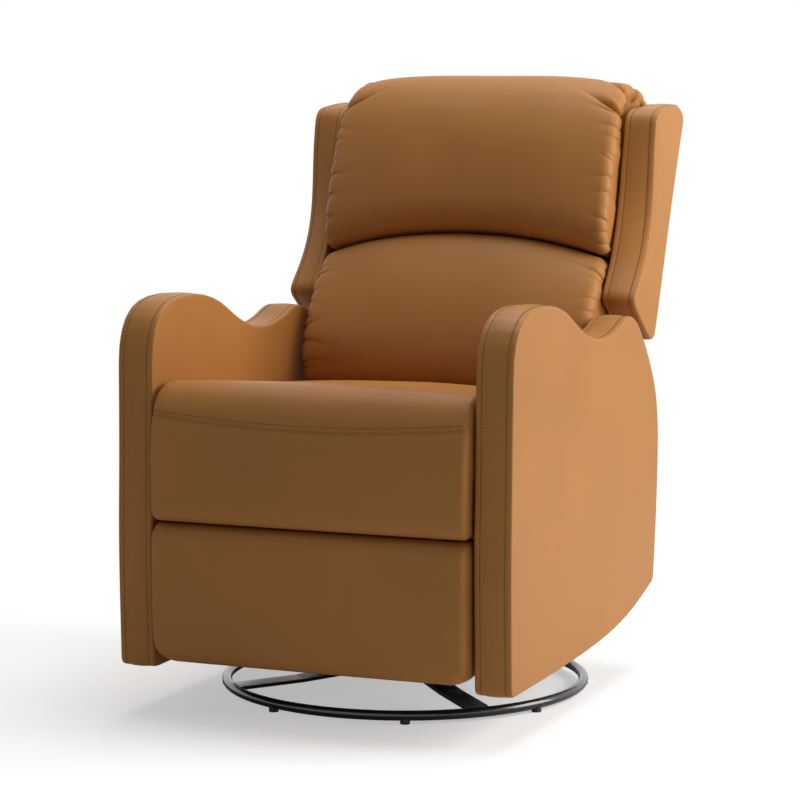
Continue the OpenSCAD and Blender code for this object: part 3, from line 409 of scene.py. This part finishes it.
def side_panel(line, x, way):
    """A cover panel inside the line, facing way along x, with its edge turned in to the seam."""
    bm = bmesh.new()
    seam = bm.verts.layers.float.new("seam")
    normals = outward(line)
    face = bm.faces.new([bm.verts.new((0, *(p - n * seam_drop))) for p, n in zip(line, normals)])
    inset = 0.0
    for step in [0.0] + inset_steps:
        if step:
            bmesh.ops.inset_region(bm, faces=[face], thickness=step, use_boundary=True,
                use_even_offset=True)
            inset += step
        for v in face.verts:
            v.co.x = x + way * bump_out(inset, panel_profile)
            # Painted shade along the seam, fading out within a few millimetres of it
            v[seam] = exp(-((inset / painted_shade_width) ** 2))
    middle = face.calc_center_median()
    left = 1.0
    for share in centre_shares:
        grown = bmesh.ops.extrude_discrete_faces(bm, faces=[face])
        face = grown["faces"][0]
        left *= share
        bmesh.ops.scale(bm, vec=(1, share, share), space=Matrix.Translation(-middle),
            verts=face.verts)
        for v in face.verts:
            v.co.x = x + way * bump_out(inset + (1 - left) * panel_reach, panel_profile)
    bmesh.ops.poke(bm, faces=[face])
    return bm


def band_strip(line, low, high, profile=band_profile):
    """The band round the line between two seams, with its crown and its dip at the stitches."""
    bm = bmesh.new()
    seam = bm.verts.layers.float.new("seam")
    aim = bm.verts.layers.float_vector.new("aim")
    start = [bm.verts.new((low, *p)) for p in line]
    for v, n in zip(start, outward(line)):
        v[aim] = (0, *n)
    edges = [bm.edges.new((a, b)) for a, b in zip(start, start[1:] + start[:1])]
    half, least_step = (high - low) / 2, 2 * mm
    stops = [t * mm for t in (0.5, 1, 1.6, 2.8, 4.2, 6, 7.6, 8.3, 9, 9.7, 10.5, 13, 16, 20, 26)]
    stops = [t for t in stops if t < half - least_step] + [half]
    across = stops + [2 * half - t for t in reversed(stops[:-1])] + [2 * half]
    spent = 0.0
    for t in across:
        grown = bmesh.ops.extrude_edge_only(bm, edges=edges)["geom"]
        verts = [v for v in grown if isinstance(v, bmesh.types.BMVert)]
        ends = set(verts)
        edges = [e for e in grown if isinstance(e, bmesh.types.BMEdge) and ends >= set(e.verts)]
        bmesh.ops.translate(bm, vec=(t - spent, 0, 0), verts=verts)
        spent = t
    for v in bm.verts:
        t = min(v.co.x - low, high - v.co.x)
        # Painted shade in both seam lines, and a weaker line of it in each stitch channel
        v[seam] = max(exp(-((t / painted_shade_width) ** 2)),
            stitch_painted_shade * exp(-(((t - stitch_in) / painted_shade_width) ** 2)))
        v.co += v[aim] * bump_out(t, profile)
    return bm


def join_shapes(*shapes):
    """One mesh of several, sewn together where their edges meet."""
    sewn = 0.3 * mm
    whole = bmesh.new()
    # The seam layer keeps each shape's painted seam shade
    whole.verts.layers.float.new("seam")
    for shape in shapes:
        mesh = bpy.data.meshes.new("part")
        shape.to_mesh(mesh)
        shape.free()
        whole.from_mesh(mesh)
        bpy.data.meshes.remove(mesh)
    bmesh.ops.remove_doubles(whole, verts=whole.verts, dist=sewn)
    return whole


def make_piece(name, bm, material):
    """A smooth shaded object of a mesh, in its material."""
    bmesh.ops.recalc_face_normals(bm, faces=bm.faces)
    mesh = bpy.data.meshes.new(name)
    bm.to_mesh(mesh)
    bm.free()
    mesh.shade_smooth()
    mesh.materials.append(material)
    piece = bpy.data.objects.new(name, mesh)
    scene.collection.objects.link(piece)
    return piece


# One stitch: a short length of thread with rounded ends, and the steps at which it repeats
thread_r, thread_sides, stitch_long, stitch_pitch = 0.55 * mm, 6, 2.9 * mm, 6.5 * mm
stitch_mesh = bpy.data.meshes.new("stitch")
bm = bmesh.new()
bmesh.ops.create_cone(bm, cap_ends=True, segments=thread_sides, radius1=thread_r,
    radius2=thread_r, depth=stitch_long, matrix=Matrix.Rotation(pi / 2, 4, "Y"))
caps = [f for f in bm.faces if len(f.verts) == thread_sides]
bmesh.ops.inset_individual(bm, faces=caps, thickness=0.2 * mm, depth=0.3 * mm)
bm.to_mesh(stitch_mesh)
bm.free()


def stitch_row(bm, points, aims):
    """Adds thread stitches along the points, each lying on the surface that the aims face."""
    spent, next_at = 0.0, 0.0
    for k in range(len(points) - 1):
        step = points[k + 1] - points[k]
        while step.length and next_at <= spent + step.length:
            share = (next_at - spent) / step.length
            run = step.normalized()
            side = aims[k].lerp(aims[k + 1], share).cross(run).normalized()
            turn = Matrix((run, side, run.cross(side))).transposed().to_4x4()
            turn.translation = points[k].lerp(points[k + 1], share)
            stitch = stitch_mesh.copy()
            stitch.transform(turn)
            bm.from_mesh(stitch)
            bpy.data.meshes.remove(stitch)
            next_at += stitch_pitch
        spent += step.length


cover_wave = 0.16, 0.7 * mm


def upholster(line, low, high, seed, shape=None):
    """A covered slab between two x planes, and its stitches, as two meshes."""
    inner = side_panel(line, low, -1)
    outer = side_panel(line, high, 1)
    bm = join_shapes(inner, outer, band_strip(line, low + seam_side, high - seam_side))
    for v in bm.verts:
        v.co.x += soft_waves(v.co, *cover_wave, seed)
        if shape:
            v.co = shape(v.co)
    threads = bmesh.new()
    normals = outward(line)
    for x in (low + seam_side + stitch_in, high - seam_side - stitch_in):
        points = [Vector((x, *p)) for p in line]
        for p in points:
            p.x += soft_waves(p, *cover_wave, seed)
        aims = [Vector((0, *n)) for n in normals]
        points = [shape(p) for p in points] if shape else points
        stitch_row(threads, points + points[:1], aims + aims[:1])
    return bm, threads


def cut_opening(bm, node, x, lip):
    """Cuts the panel at x away behind a CAD node's flange, which is a lip wider than the hole."""
    low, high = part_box(node)
    panel_deep = 4 * mm
    near = [f for f in bm.faces if abs(f.calc_center_median().x - x) < panel_deep]
    for place, facing in (((x, low[1] + lip, 0), (0, 1, 0)), ((x, high[1] - lip, 0), (0, 1, 0)),
            ((x, 0, low[2] + lip), (0, 0, 1)), ((x, 0, high[2] - lip), (0, 0, 1))):
        near = [f for f in near if f.is_valid]
        parts = near + [e for f in near for e in f.edges] + [v for f in near for v in f.verts]
        cut = bmesh.ops.bisect_plane(bm, geom=list(dict.fromkeys(parts)), plane_co=place,
            plane_no=facing)
        near = [f for f in cut["geom"] if isinstance(f, bmesh.types.BMFace)]
    gone = [f for f in near if low[1] + lip < f.calc_center_median().y < high[1] - lip
        and low[2] + lip < f.calc_center_median().z < high[2] - lip]
    bmesh.ops.delete(bm, geom=gone, context="FACES")


cover_t, outline_step = 8.3 * mm, 4 * mm
for side, way in (("left", 1), ("right", -1)):
    cover = side + "_arm_cover"
    near, far = sorted(way * corner[0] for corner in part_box(side + "_arm_frame"))
    inner_x, outer_x = near - cover_t, far + cover_t
    line = even_loop(cut_outline(cover, way * (inner_x + 3 * mm)), outline_step, soften=5 * mm)
    bm, threads = upholster(line, inner_x, outer_x, seed=3 + way)
    for shape in (bm, threads):
        if way < 0:
            bmesh.ops.scale(shape, vec=(-1, 1, 1), verts=shape.verts)
    if side == "right":
        cut_opening(bm, "lever_cup", -outer_x, lip=3.5 * mm)
    arm = make_piece(side + "_arm", bm, leather)
    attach(arm, "chassis")
    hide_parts(cover)
    arm_stitches = make_piece(side + "_arm_stitches", threads, thread)
    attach(arm_stitches, "chassis")

# Seat: one cover over the cushion's foam and springs that rolls over the front edge, is seamed
# across under the roll, and runs on down the front board to the crease over the footrest.
seat_half = 269 * mm


def smooth_section(points, count):
    """A closed line through the points, evenly stepped, as a list of 2D vectors."""
    points = [Vector(p) * mm for p in points]
    n, steps, line = len(points), 24, []
    for i in range(n):
        a, b, c, d = (points[(i + k) % n] for k in (-1, 0, 1, 2))
        for k in range(steps):
            t = k / steps
            line.append(0.5 * (2 * b + (c - a) * t + (2 * a - 5 * b + 4 * c - d) * t ** 2
                + (3 * b - a - 3 * c + d) * t ** 3))
    return even_loop(line, sum((b - a).length for a, b in zip(line, line[1:] + line[:1])) / count,
        soften=1.5 * mm)


def end_depth(across, half, edge):
    """How far a pad's section has shrunk where its side rounds off over the edge width."""
    over = max(0.0, (abs(across) * half - (half - edge)) / edge)
    return edge * (1 - sqrt(max(0.0, 1 - over * over)))


def nearest_on(point, start, end):
    """The point of a straight run that lies nearest to a point."""
    run = end - start
    share = (point - start).dot(run) / run.length_squared
    return start + run * max(0.0, min(1.0, share))


def shrink(point, spine, depth):
    """Moves a point of a section inwards, towards the line that its ends round off to."""
    furthest = 0.9
    way = min((nearest_on(point, a, b) - point for a, b in zip(spine, spine[1:])),
        key=lambda step: step.length)
    return point + way.normalized() * min(depth, furthest * way.length)


def sweep_pad(section, spine, half, edge, columns, place):
    """A pad whose section runs from side to side, and shrinks over its rounded ends.
    place(x share, length along the section, point, normal) puts it on the chair."""
    crowd, merge = 0.35, 0.05 * mm
    bm = bmesh.new()
    seam = bm.verts.layers.float.new("seam")
    normals = outward(section)
    step = (section[1] - section[0]).length
    bmesh.ops.create_grid(bm, x_segments=len(section), y_segments=columns, size=1)
    for v in bm.verts:
        k = round((v.co.x + 1) / 2 * len(section)) % len(section)
        across = sin(v.co.y * pi / 2) * crowd + v.co.y * (1 - crowd)
        depth = end_depth(across, half, edge)
        point = shrink(section[k], spine, depth) if depth else section[k]
        # place also gives how much painted shade the point has
        v.co, v[seam] = place(across, k * step, point, normals[k])
    bmesh.ops.remove_doubles(bm, verts=bm.verts, dist=merge)
    bmesh.ops.holes_fill(bm, edges=[e for e in bm.edges if e.is_boundary])
    bmesh.ops.triangulate(bm, faces=[f for f in bm.faces if len(f.verts) > 4])
    return bm


# Sections run (forward of the swivel axis, height), in mm, and each spine lies inside its section
seat_section = smooth_section(((-125, 404), (-152, 406), (-171, 420), (-175, 440), (-160, 461),
    (-130, 484), (-100, 499), (-50, 507), (40, 509), (120, 513), (200, 522), (268, 534),
    (318, 543), (350, 541), (378, 527), (396, 505), (404, 481), (409, 450), (411, 415),
    (411, 375), (411, 345), (406, 329), (394, 321), (372, 321), (366, 332), (364, 380),
    (363, 404), (340, 404), (200, 404), (60, 404), (-60, 404)), 480)
seat_spine = [Vector(p) * mm for p in ((-140, 434), (-80, 455), (60, 457), (340, 470), (383, 440),
    (385, 350))]


def share_above(value, start, run):
    """How much of a run the value has covered above its start, from 0 to 1."""
    return max(0.0, min(1.0, (value - start) / run))


def share_below(value, start, run):
    """How much of a run the value has covered below its start, from 0 to 1."""
    return max(0.0, min(1.0, (start - value) / run))


def gathers(along, inside, pitch, reach, depth, seed):
    """Depth of the short folds that the gathered side seam of a pad sends into its face. Each
    differs in place, size and slant, and is steep on one side and soft on the other."""
    total, nearby = 0.0, 50 * mm
    first = round((along - nearby) / pitch)
    for k in range(first, first + round(2 * nearby / pitch) + 1):
        shift, size, slant = (noise.noise(Vector((k * 1.7, seed, t))) for t in (0.3, 5.1, 9.7))
        off = along - (k + 0.7 * shift) * pitch - slant * 1.1 * inside
        wide = (1.3 * mm + 0.10 * inside) if off < 0 else (4.0 * mm + 0.2 * inside)
        length = reach * (1.0 + 1.5 * size)
        total += exp(-abs(off) / wide) * exp(-inside / length) * (0.75 + 0.9 * size)
    most = 1.5
    return depth * min(total, most)


def pleats(along, inside, folds):
    """Depth of a few deep folds at a pad's corner, each (place, slant, reach, width, depth)."""
    total = 0.0
    for place, slant, reach, wide, depth in folds:
        off = along - place - slant * inside
        width = (wide if off < 0 else 0.3 * wide) * (0.6 + 0.4 * inside / reach)
        total = max(total, depth * exp(-abs(off) / width) * exp(-((inside / reach) ** 2)))
    return total


# The seam under the roll hangs like a smile: its height at the sides, and its dip in the middle
smile_low, smile_dip, seat_edge = 490 * mm, 14 * mm, 11 * mm
# The groove of that seam: its width and depth, the painted shade drawn in it, and the tuck below
groove_wide, groove_deep, groove_painted_shade, tuck, tuck_high = 2.0 * mm, 2.2 * mm, 0.8, 3 * mm, 14 * mm
seat_crown, belly = 12 * mm, 3 * mm


def seat_place(across, along, point, normal):
    """A point of the seat's cover: gathered at the sides, crowned on top, with the seam under its
    roll sunk in and a slight belly in front. Gives its place and the groove's painted shade."""
    inside = seat_half * (1 - abs(across))
    face = share_above(point.x, 0.30, 0.07)
    fold = gathers(along, inside, pitch=34 * mm, reach=9 * mm, depth=3 * mm,
        seed=17 if across < 0 else 19) * face
    f, z = point - normal * fold
    crown = share_above(z, 0.42, 0.06) * (1 - face)
    z -= crown * seat_crown * across ** 2
    line = smile_low - smile_dip * (1 - across ** 2)
    from_seam = (z - line) if f > 0.37 else 1.0
    groove = exp(-((from_seam / groove_wide) ** 2))
    under = share_below(from_seam, 0.0, tuck_high)
    f -= groove * groove_deep + (1 - under) * under * tuck
    f += belly * (1 - across ** 2) * share_above(f, 0.3, 0.1)
    wave = soft_waves((across * seat_half, f, z), 0.12, 1.2 * mm, seed=7)
    place = Vector((across * seat_half, axis_y - f - wave * 0.5, z + wave * crown))
    # The groove's painted shade goes with the place
    return place, groove * groove_painted_shade


bm = sweep_pad(seat_section, seat_spine, seat_half, seat_edge, columns=110, place=seat_place)
threads = bmesh.new()
seat_front = sorted((p.y, k) for k, p in enumerate(seat_section) if p.x > 0.385 and p.y > 0.4)
seat_normals = outward(seat_section)
points, aims = [], []
last, stitch_up, thread_proud = 97, 8 * mm, 0.2 * mm
for i in range(-last, last + 1):
    across = i / 100
    aim_z = smile_low - smile_dip * (1 - across ** 2) + stitch_up
    k = min(seat_front, key=lambda row: abs(row[0] - aim_z))[1]
    point = Vector((seat_section[k].x, aim_z))
    point = shrink(point, seat_spine, end_depth(across, seat_half, seat_edge))
    place, _ = seat_place(across, 0.0, point, seat_normals[k])
    aims.append(Vector((0, -seat_normals[k].x, seat_normals[k].y)))
    points.append(place + aims[-1] * thread_proud)
stitch_row(threads, points, aims)
seat_stitches = make_piece("seat_stitches", threads, thread)
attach(seat_stitches, "seat")
seat = make_piece("seat_cover", bm, leather)
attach(seat, "seat")
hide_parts("seat_cushion", "front_panel")

# Footrest: a foam pad in its cover on the footrest board, rounded at both ends, which closes the
# front below the seat when it is folded.
rest_section = smooth_section(((336, 104), (342, 95), (362, 92), (386, 94), (402, 104),
    (409, 130), (411, 170), (412, 215), (412, 260), (411, 290), (405, 307), (393, 316),
    (370, 318), (346, 316), (337, 308), (335, 280), (335, 200), (335, 140)), 300)
rest_spine = [Vector(p) * mm for p in ((373, 136), (373, 276))]
rest_edge, corner_from, corner_up = 12 * mm, 0.86, 16 * mm


def rest_place(across, along, point, normal):
    """A point of the footrest's cover: gathered at the sides, with raised lower corners and a
    slight belly in front. Gives its place, and no painted shade because no seam crosses it."""
    inside = seat_half * (1 - abs(across))
    face = share_above(point.x, 0.345, 0.03)
    fold = gathers(along, inside, pitch=36 * mm, reach=9 * mm, depth=3 * mm,
        seed=23 if across < 0 else 27) * face
    f, z = point - normal * fold
    low = share_below(z, 0.19, 0.09)
    corner = max(0.0, abs(across) - corner_from) / (1 - corner_from)
    z += low * corner_up * corner ** 2
    f += belly * (1 - across ** 2) * share_above(f, 0.34, 0.06)
    wave = soft_waves((across, f, z), 0.14, 1.2 * mm, seed=11)
    return Vector((across * seat_half, axis_y - f - wave * 0.6, z)), 0.0


bm = sweep_pad(rest_section, rest_spine, seat_half, rest_edge, columns=100, place=rest_place)
footrest = make_piece("footrest_cover", bm, leather)
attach(footrest, "footrest")
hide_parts("footrest_pad")

# Back: two foam pads on the back frame, sewn together along an arched crease, with a rounded
# headrest over a lumbar pad. They lean with the frame about the recline pivot.
lean = radians(22)
pivot_y, pivot_z = axis_y + 198 * mm, 372 * mm
back_half = 264 * mm


def leaned(x, s, d):
    """The place s up the leaning back from its pivot, and d behind the front of its frame."""
    return Vector((x, pivot_y + s * sin(lean) + d * cos(lean),
        pivot_z + s * cos(lean) - d * sin(lean)))


# Sections run (d behind the frame's front, s up the back), in mm
head_section = smooth_section(((0, 352), (-14, 348), (-44, 344), (-80, 342), (-101, 356),
    (-114, 386), (-121, 435), (-124, 490), (-122, 540), (-114, 586), (-100, 622), (-80, 648),
    (-54, 666), (-20, 672), (20, 673), (52, 667), (68, 651), (64, 634), (50, 638), (4, 640),
    (0, 600), (0, 480)), 540)
head_spine = [Vector(p) * mm for p in ((-55, 400), (-55, 590), (-25, 640), (50, 651))]
lumbar_section = smooth_section(((-5, 88), (-40, 82), (-80, 86), (-105, 100), (-121, 126),
    (-129, 160), (-129, 195), (-123, 236), (-113, 274), (-101, 304), (-88, 326), (-66, 338),
    (-20, 341), (-2, 341), (-3, 300), (-4, 200)), 460)
lumbar_spine = [Vector(p) * mm for p in ((-55, 135), (-60, 290))]
crease_arch, top_arch, side_flat, flat_from = 37 * mm, 9 * mm, 42 * mm, 0.35


def on_front(d):
    """1 over the front of a back pad, down to 0 at the frame."""
    return share_above(-d, 0.005, 0.04)


def pad_place(across, s, d, normal, arch, fold, narrow, wave_seed):
    """A point of a back pad, sunk by its fold, with flatter sides and a slow unevenness."""
    inside = back_half * (1 - abs(across))
    flat = side_flat * on_front(d) * max(0.0, abs(across) - flat_from) ** 2
    wave = soft_waves((across * back_half, d, s), 0.10, 1.5 * mm, wave_seed) * on_front(d)
    fold_in, fold_reach = 0.8, 12 * mm
    in_x = narrow + fold_in * fold * exp(-inside / fold_reach)
    s += arch - normal.y * fold
    return leaned(across * (back_half - in_x), s, d - normal.x * fold + flat - wave)


def along_at(section, d, s):
    """The length along a section at its point nearest to (d, s)."""
    step = (section[1] - section[0]).length
    return step * min(range(len(section)), key=lambda k: (section[k] - Vector((d, s))).length)


# Places of the folds at the headrest's top corners, each (d, s, slant, reach, width, depth)
corner_folds = [(along_at(head_section, d * mm, s * mm), slant, reach * mm, wide * mm, depth * mm)
    for d, s, slant, reach, wide, depth in ((-111, 592, -0.5, 42, 8, 19),
        (-82, 646, -0.8, 48, 9, 25), (-24, 672, -0.6, 46, 11, 19), (26, 672, -0.2, 40, 11, 14))]


def head_place(across, along, point, normal):
    """A point of the headrest's cover: its lower edge follows the crease, its top arches and
    draws in a little, and the gathers at its sides give way to deep folds at the top corners."""
    d, s = point
    low = share_below(s, 0.60, 0.24)
    front = on_front(d)
    top = share_above(s, 0.595, 0.05)
    inside = back_half * (1 - abs(across))
    fold = gathers(along, inside, pitch=24 * mm, reach=16 * mm, depth=5.5 * mm,
        seed=5 if across < 0 else 8) * front
    fold = max(fold * (1 - top), pleats(along, inside, corner_folds))
    arch = crease_arch * (1 - across ** 2) * low + top_arch * (1 - across ** 4) * (1 - low)
    narrow = 10 * mm * share_above(s, 0.54, 0.11) ** 2 * front
    return pad_place(across, s, d, normal, arch, fold, narrow, wave_seed=21), 0.0


def lumbar_place(across, along, point, normal):
    """A point of the lumbar pad's cover: its upper edge follows the crease, and its gathers are
    deeper low on the sitter's right. Low at the back its sides leave the recline links room."""
    d, s = point
    low = exp(-(((s - 0.12) / 0.05) ** 2)) if across < 0 else 0.0
    inside = back_half * (1 - abs(across))
    fold = gathers(along, inside, pitch=26 * mm, reach=(15 + 18 * low) * mm,
        depth=(5 + 3 * low) * mm, seed=11 if across < 0 else 14) * on_front(d)
    narrow = 23 * mm * share_above(d, -0.055, 0.02) * share_below(s, 0.2, 0.03)
    arch = crease_arch * (1 - across ** 2) * share_above(s, 0.10, 0.24)
    return pad_place(across, s, d, normal, arch, fold, narrow, wave_seed=31), 0.0


bm = sweep_pad(head_section, head_spine, back_half, edge=17 * mm, columns=150, place=head_place)
headrest = make_piece("headrest_cover", bm, leather)
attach(headrest, "back")
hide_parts("headrest_pad")
bm = sweep_pad(lumbar_section, lumbar_spine, back_half, edge=18 * mm, columns=150,
    place=lumbar_place)
lumbar = make_piece("lumbar_cover", bm, leather)
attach(lumbar, "back")
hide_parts("lumbar_pad")

# Wings: shaped boards in foam, one each side of the pads, covered like the arms with two side
# panels and a band. The front of the band slants back from its inner to its outer seam.
wing_in, wing_t, band_slant, top_rise, top_drop = 0.266, 0.056, 26 * mm, 7 * mm, 26 * mm


def wing_shape(place):
    """Slants the front of a wing back towards its outer seam, lifts its rear top corner and
    lowers the front one."""
    y, z = place.y - pivot_y, place.z - pivot_z
    s, d = z * cos(lean) + y * sin(lean), y * cos(lean) - z * sin(lean)
    outward_share = (abs(place.x) - wing_in) / wing_t
    middle = exp(-(((s - 0.40) / 0.14) ** 2))
    d += share_below(d, 0.0, 0.05) * outward_share * middle * band_slant
    rear = share_above(d, -0.03, 0.06) * share_above(s, 0.59, 0.05)
    front = max(0.0, (s - 0.545) / 0.1) ** 2 * share_below(d, 0.03, 0.1)
    s += top_rise * rear - top_drop * front
    return leaned(place.x, s, d)


for side, way in (("left", 1), ("right", -1)):
    low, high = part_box(side + "_wing")
    inner_x, outer_x = sorted((way * low[0], way * high[0]))
    line = even_loop(cut_outline(side + "_wing", way * (inner_x + 9 * mm)), outline_step,
        soften=7 * mm)
    bm, threads = upholster(line, inner_x, outer_x, seed=5 + way, shape=wing_shape)
    for shape in (bm, threads):
        if way < 0:
            bmesh.ops.scale(shape, vec=(-1, 1, 1), verts=shape.verts)
    wing = make_piece(side + "_wing_cover", bm, leather)
    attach(wing, "back")
    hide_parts(side + "_wing")
    wing_stitches = make_piece(side + "_wing_stitches", threads, thread)
    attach(wing_stitches, "back")

# Rear cover and apron: a padded panel between the wings behind the back, and a low one between
# the arms that closes the chassis.
edge_profile = ((0, -seam_drop), (2 * mm, -0.5 * mm), (5 * mm, 0), (9 * mm, 0.4 * mm))


def plain_panel(corners, thick):
    """A covered board in the plane of its corners (across, up), thick along the third way."""
    line = even_loop([Vector(c) for c in corners], outline_step, soften=8 * mm)
    return join_shapes(side_panel(line, 0.0, -1), side_panel(line, thick, 1),
        band_strip(line, seam_side, thick - seam_side, edge_profile))


# Half of the rear cover's outline (across, up the back) from its foot to its top, in mm: narrow
# below the wings, then the wings' inner width up to its rounded top corners
half_outline = [Vector(p) * mm for p in ((241, 16), (241, 234), (264.5, 240), (264.5, 600),
    (254.5, 622), (232.5, 632))]
cover_wide, rear_t, rear_d, puff_deep = 264.5 * mm, 18 * mm, 54 * mm, 7 * mm
bm = plain_panel([(-half_outline[0].x, half_outline[0].y)] + [tuple(p) for p in half_outline]
    + [(-p.x, p.y) for p in reversed(half_outline[1:])], rear_t)
for v in bm.verts:
    d, x, s = v.co
    puff = puff_deep * max(0.0, 1 - (x / cover_wide) ** 2)
    puff *= max(0.0, 1 - ((s - 0.33) / 0.32) ** 2)
    v.co = leaned(x, s, rear_d + d + (puff if d > rear_t / 2 else 0.0))
rear_cover = make_piece("rear_cover_panel", bm, leather)
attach(rear_cover, "back")
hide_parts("rear_cover")

low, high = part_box("rear_apron")
corners = ((low[0], low[2]), (high[0], low[2]), (high[0], high[2]), (low[0], high[2]))
bm = plain_panel(corners, high[1] - low[1])
for v in bm.verts:
    d, x, z = v.co
    v.co = Vector((x, low[1] + d, z))
apron = make_piece("rear_apron_panel", bm, leather)
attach(apron, "chassis")
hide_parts("rear_apron")
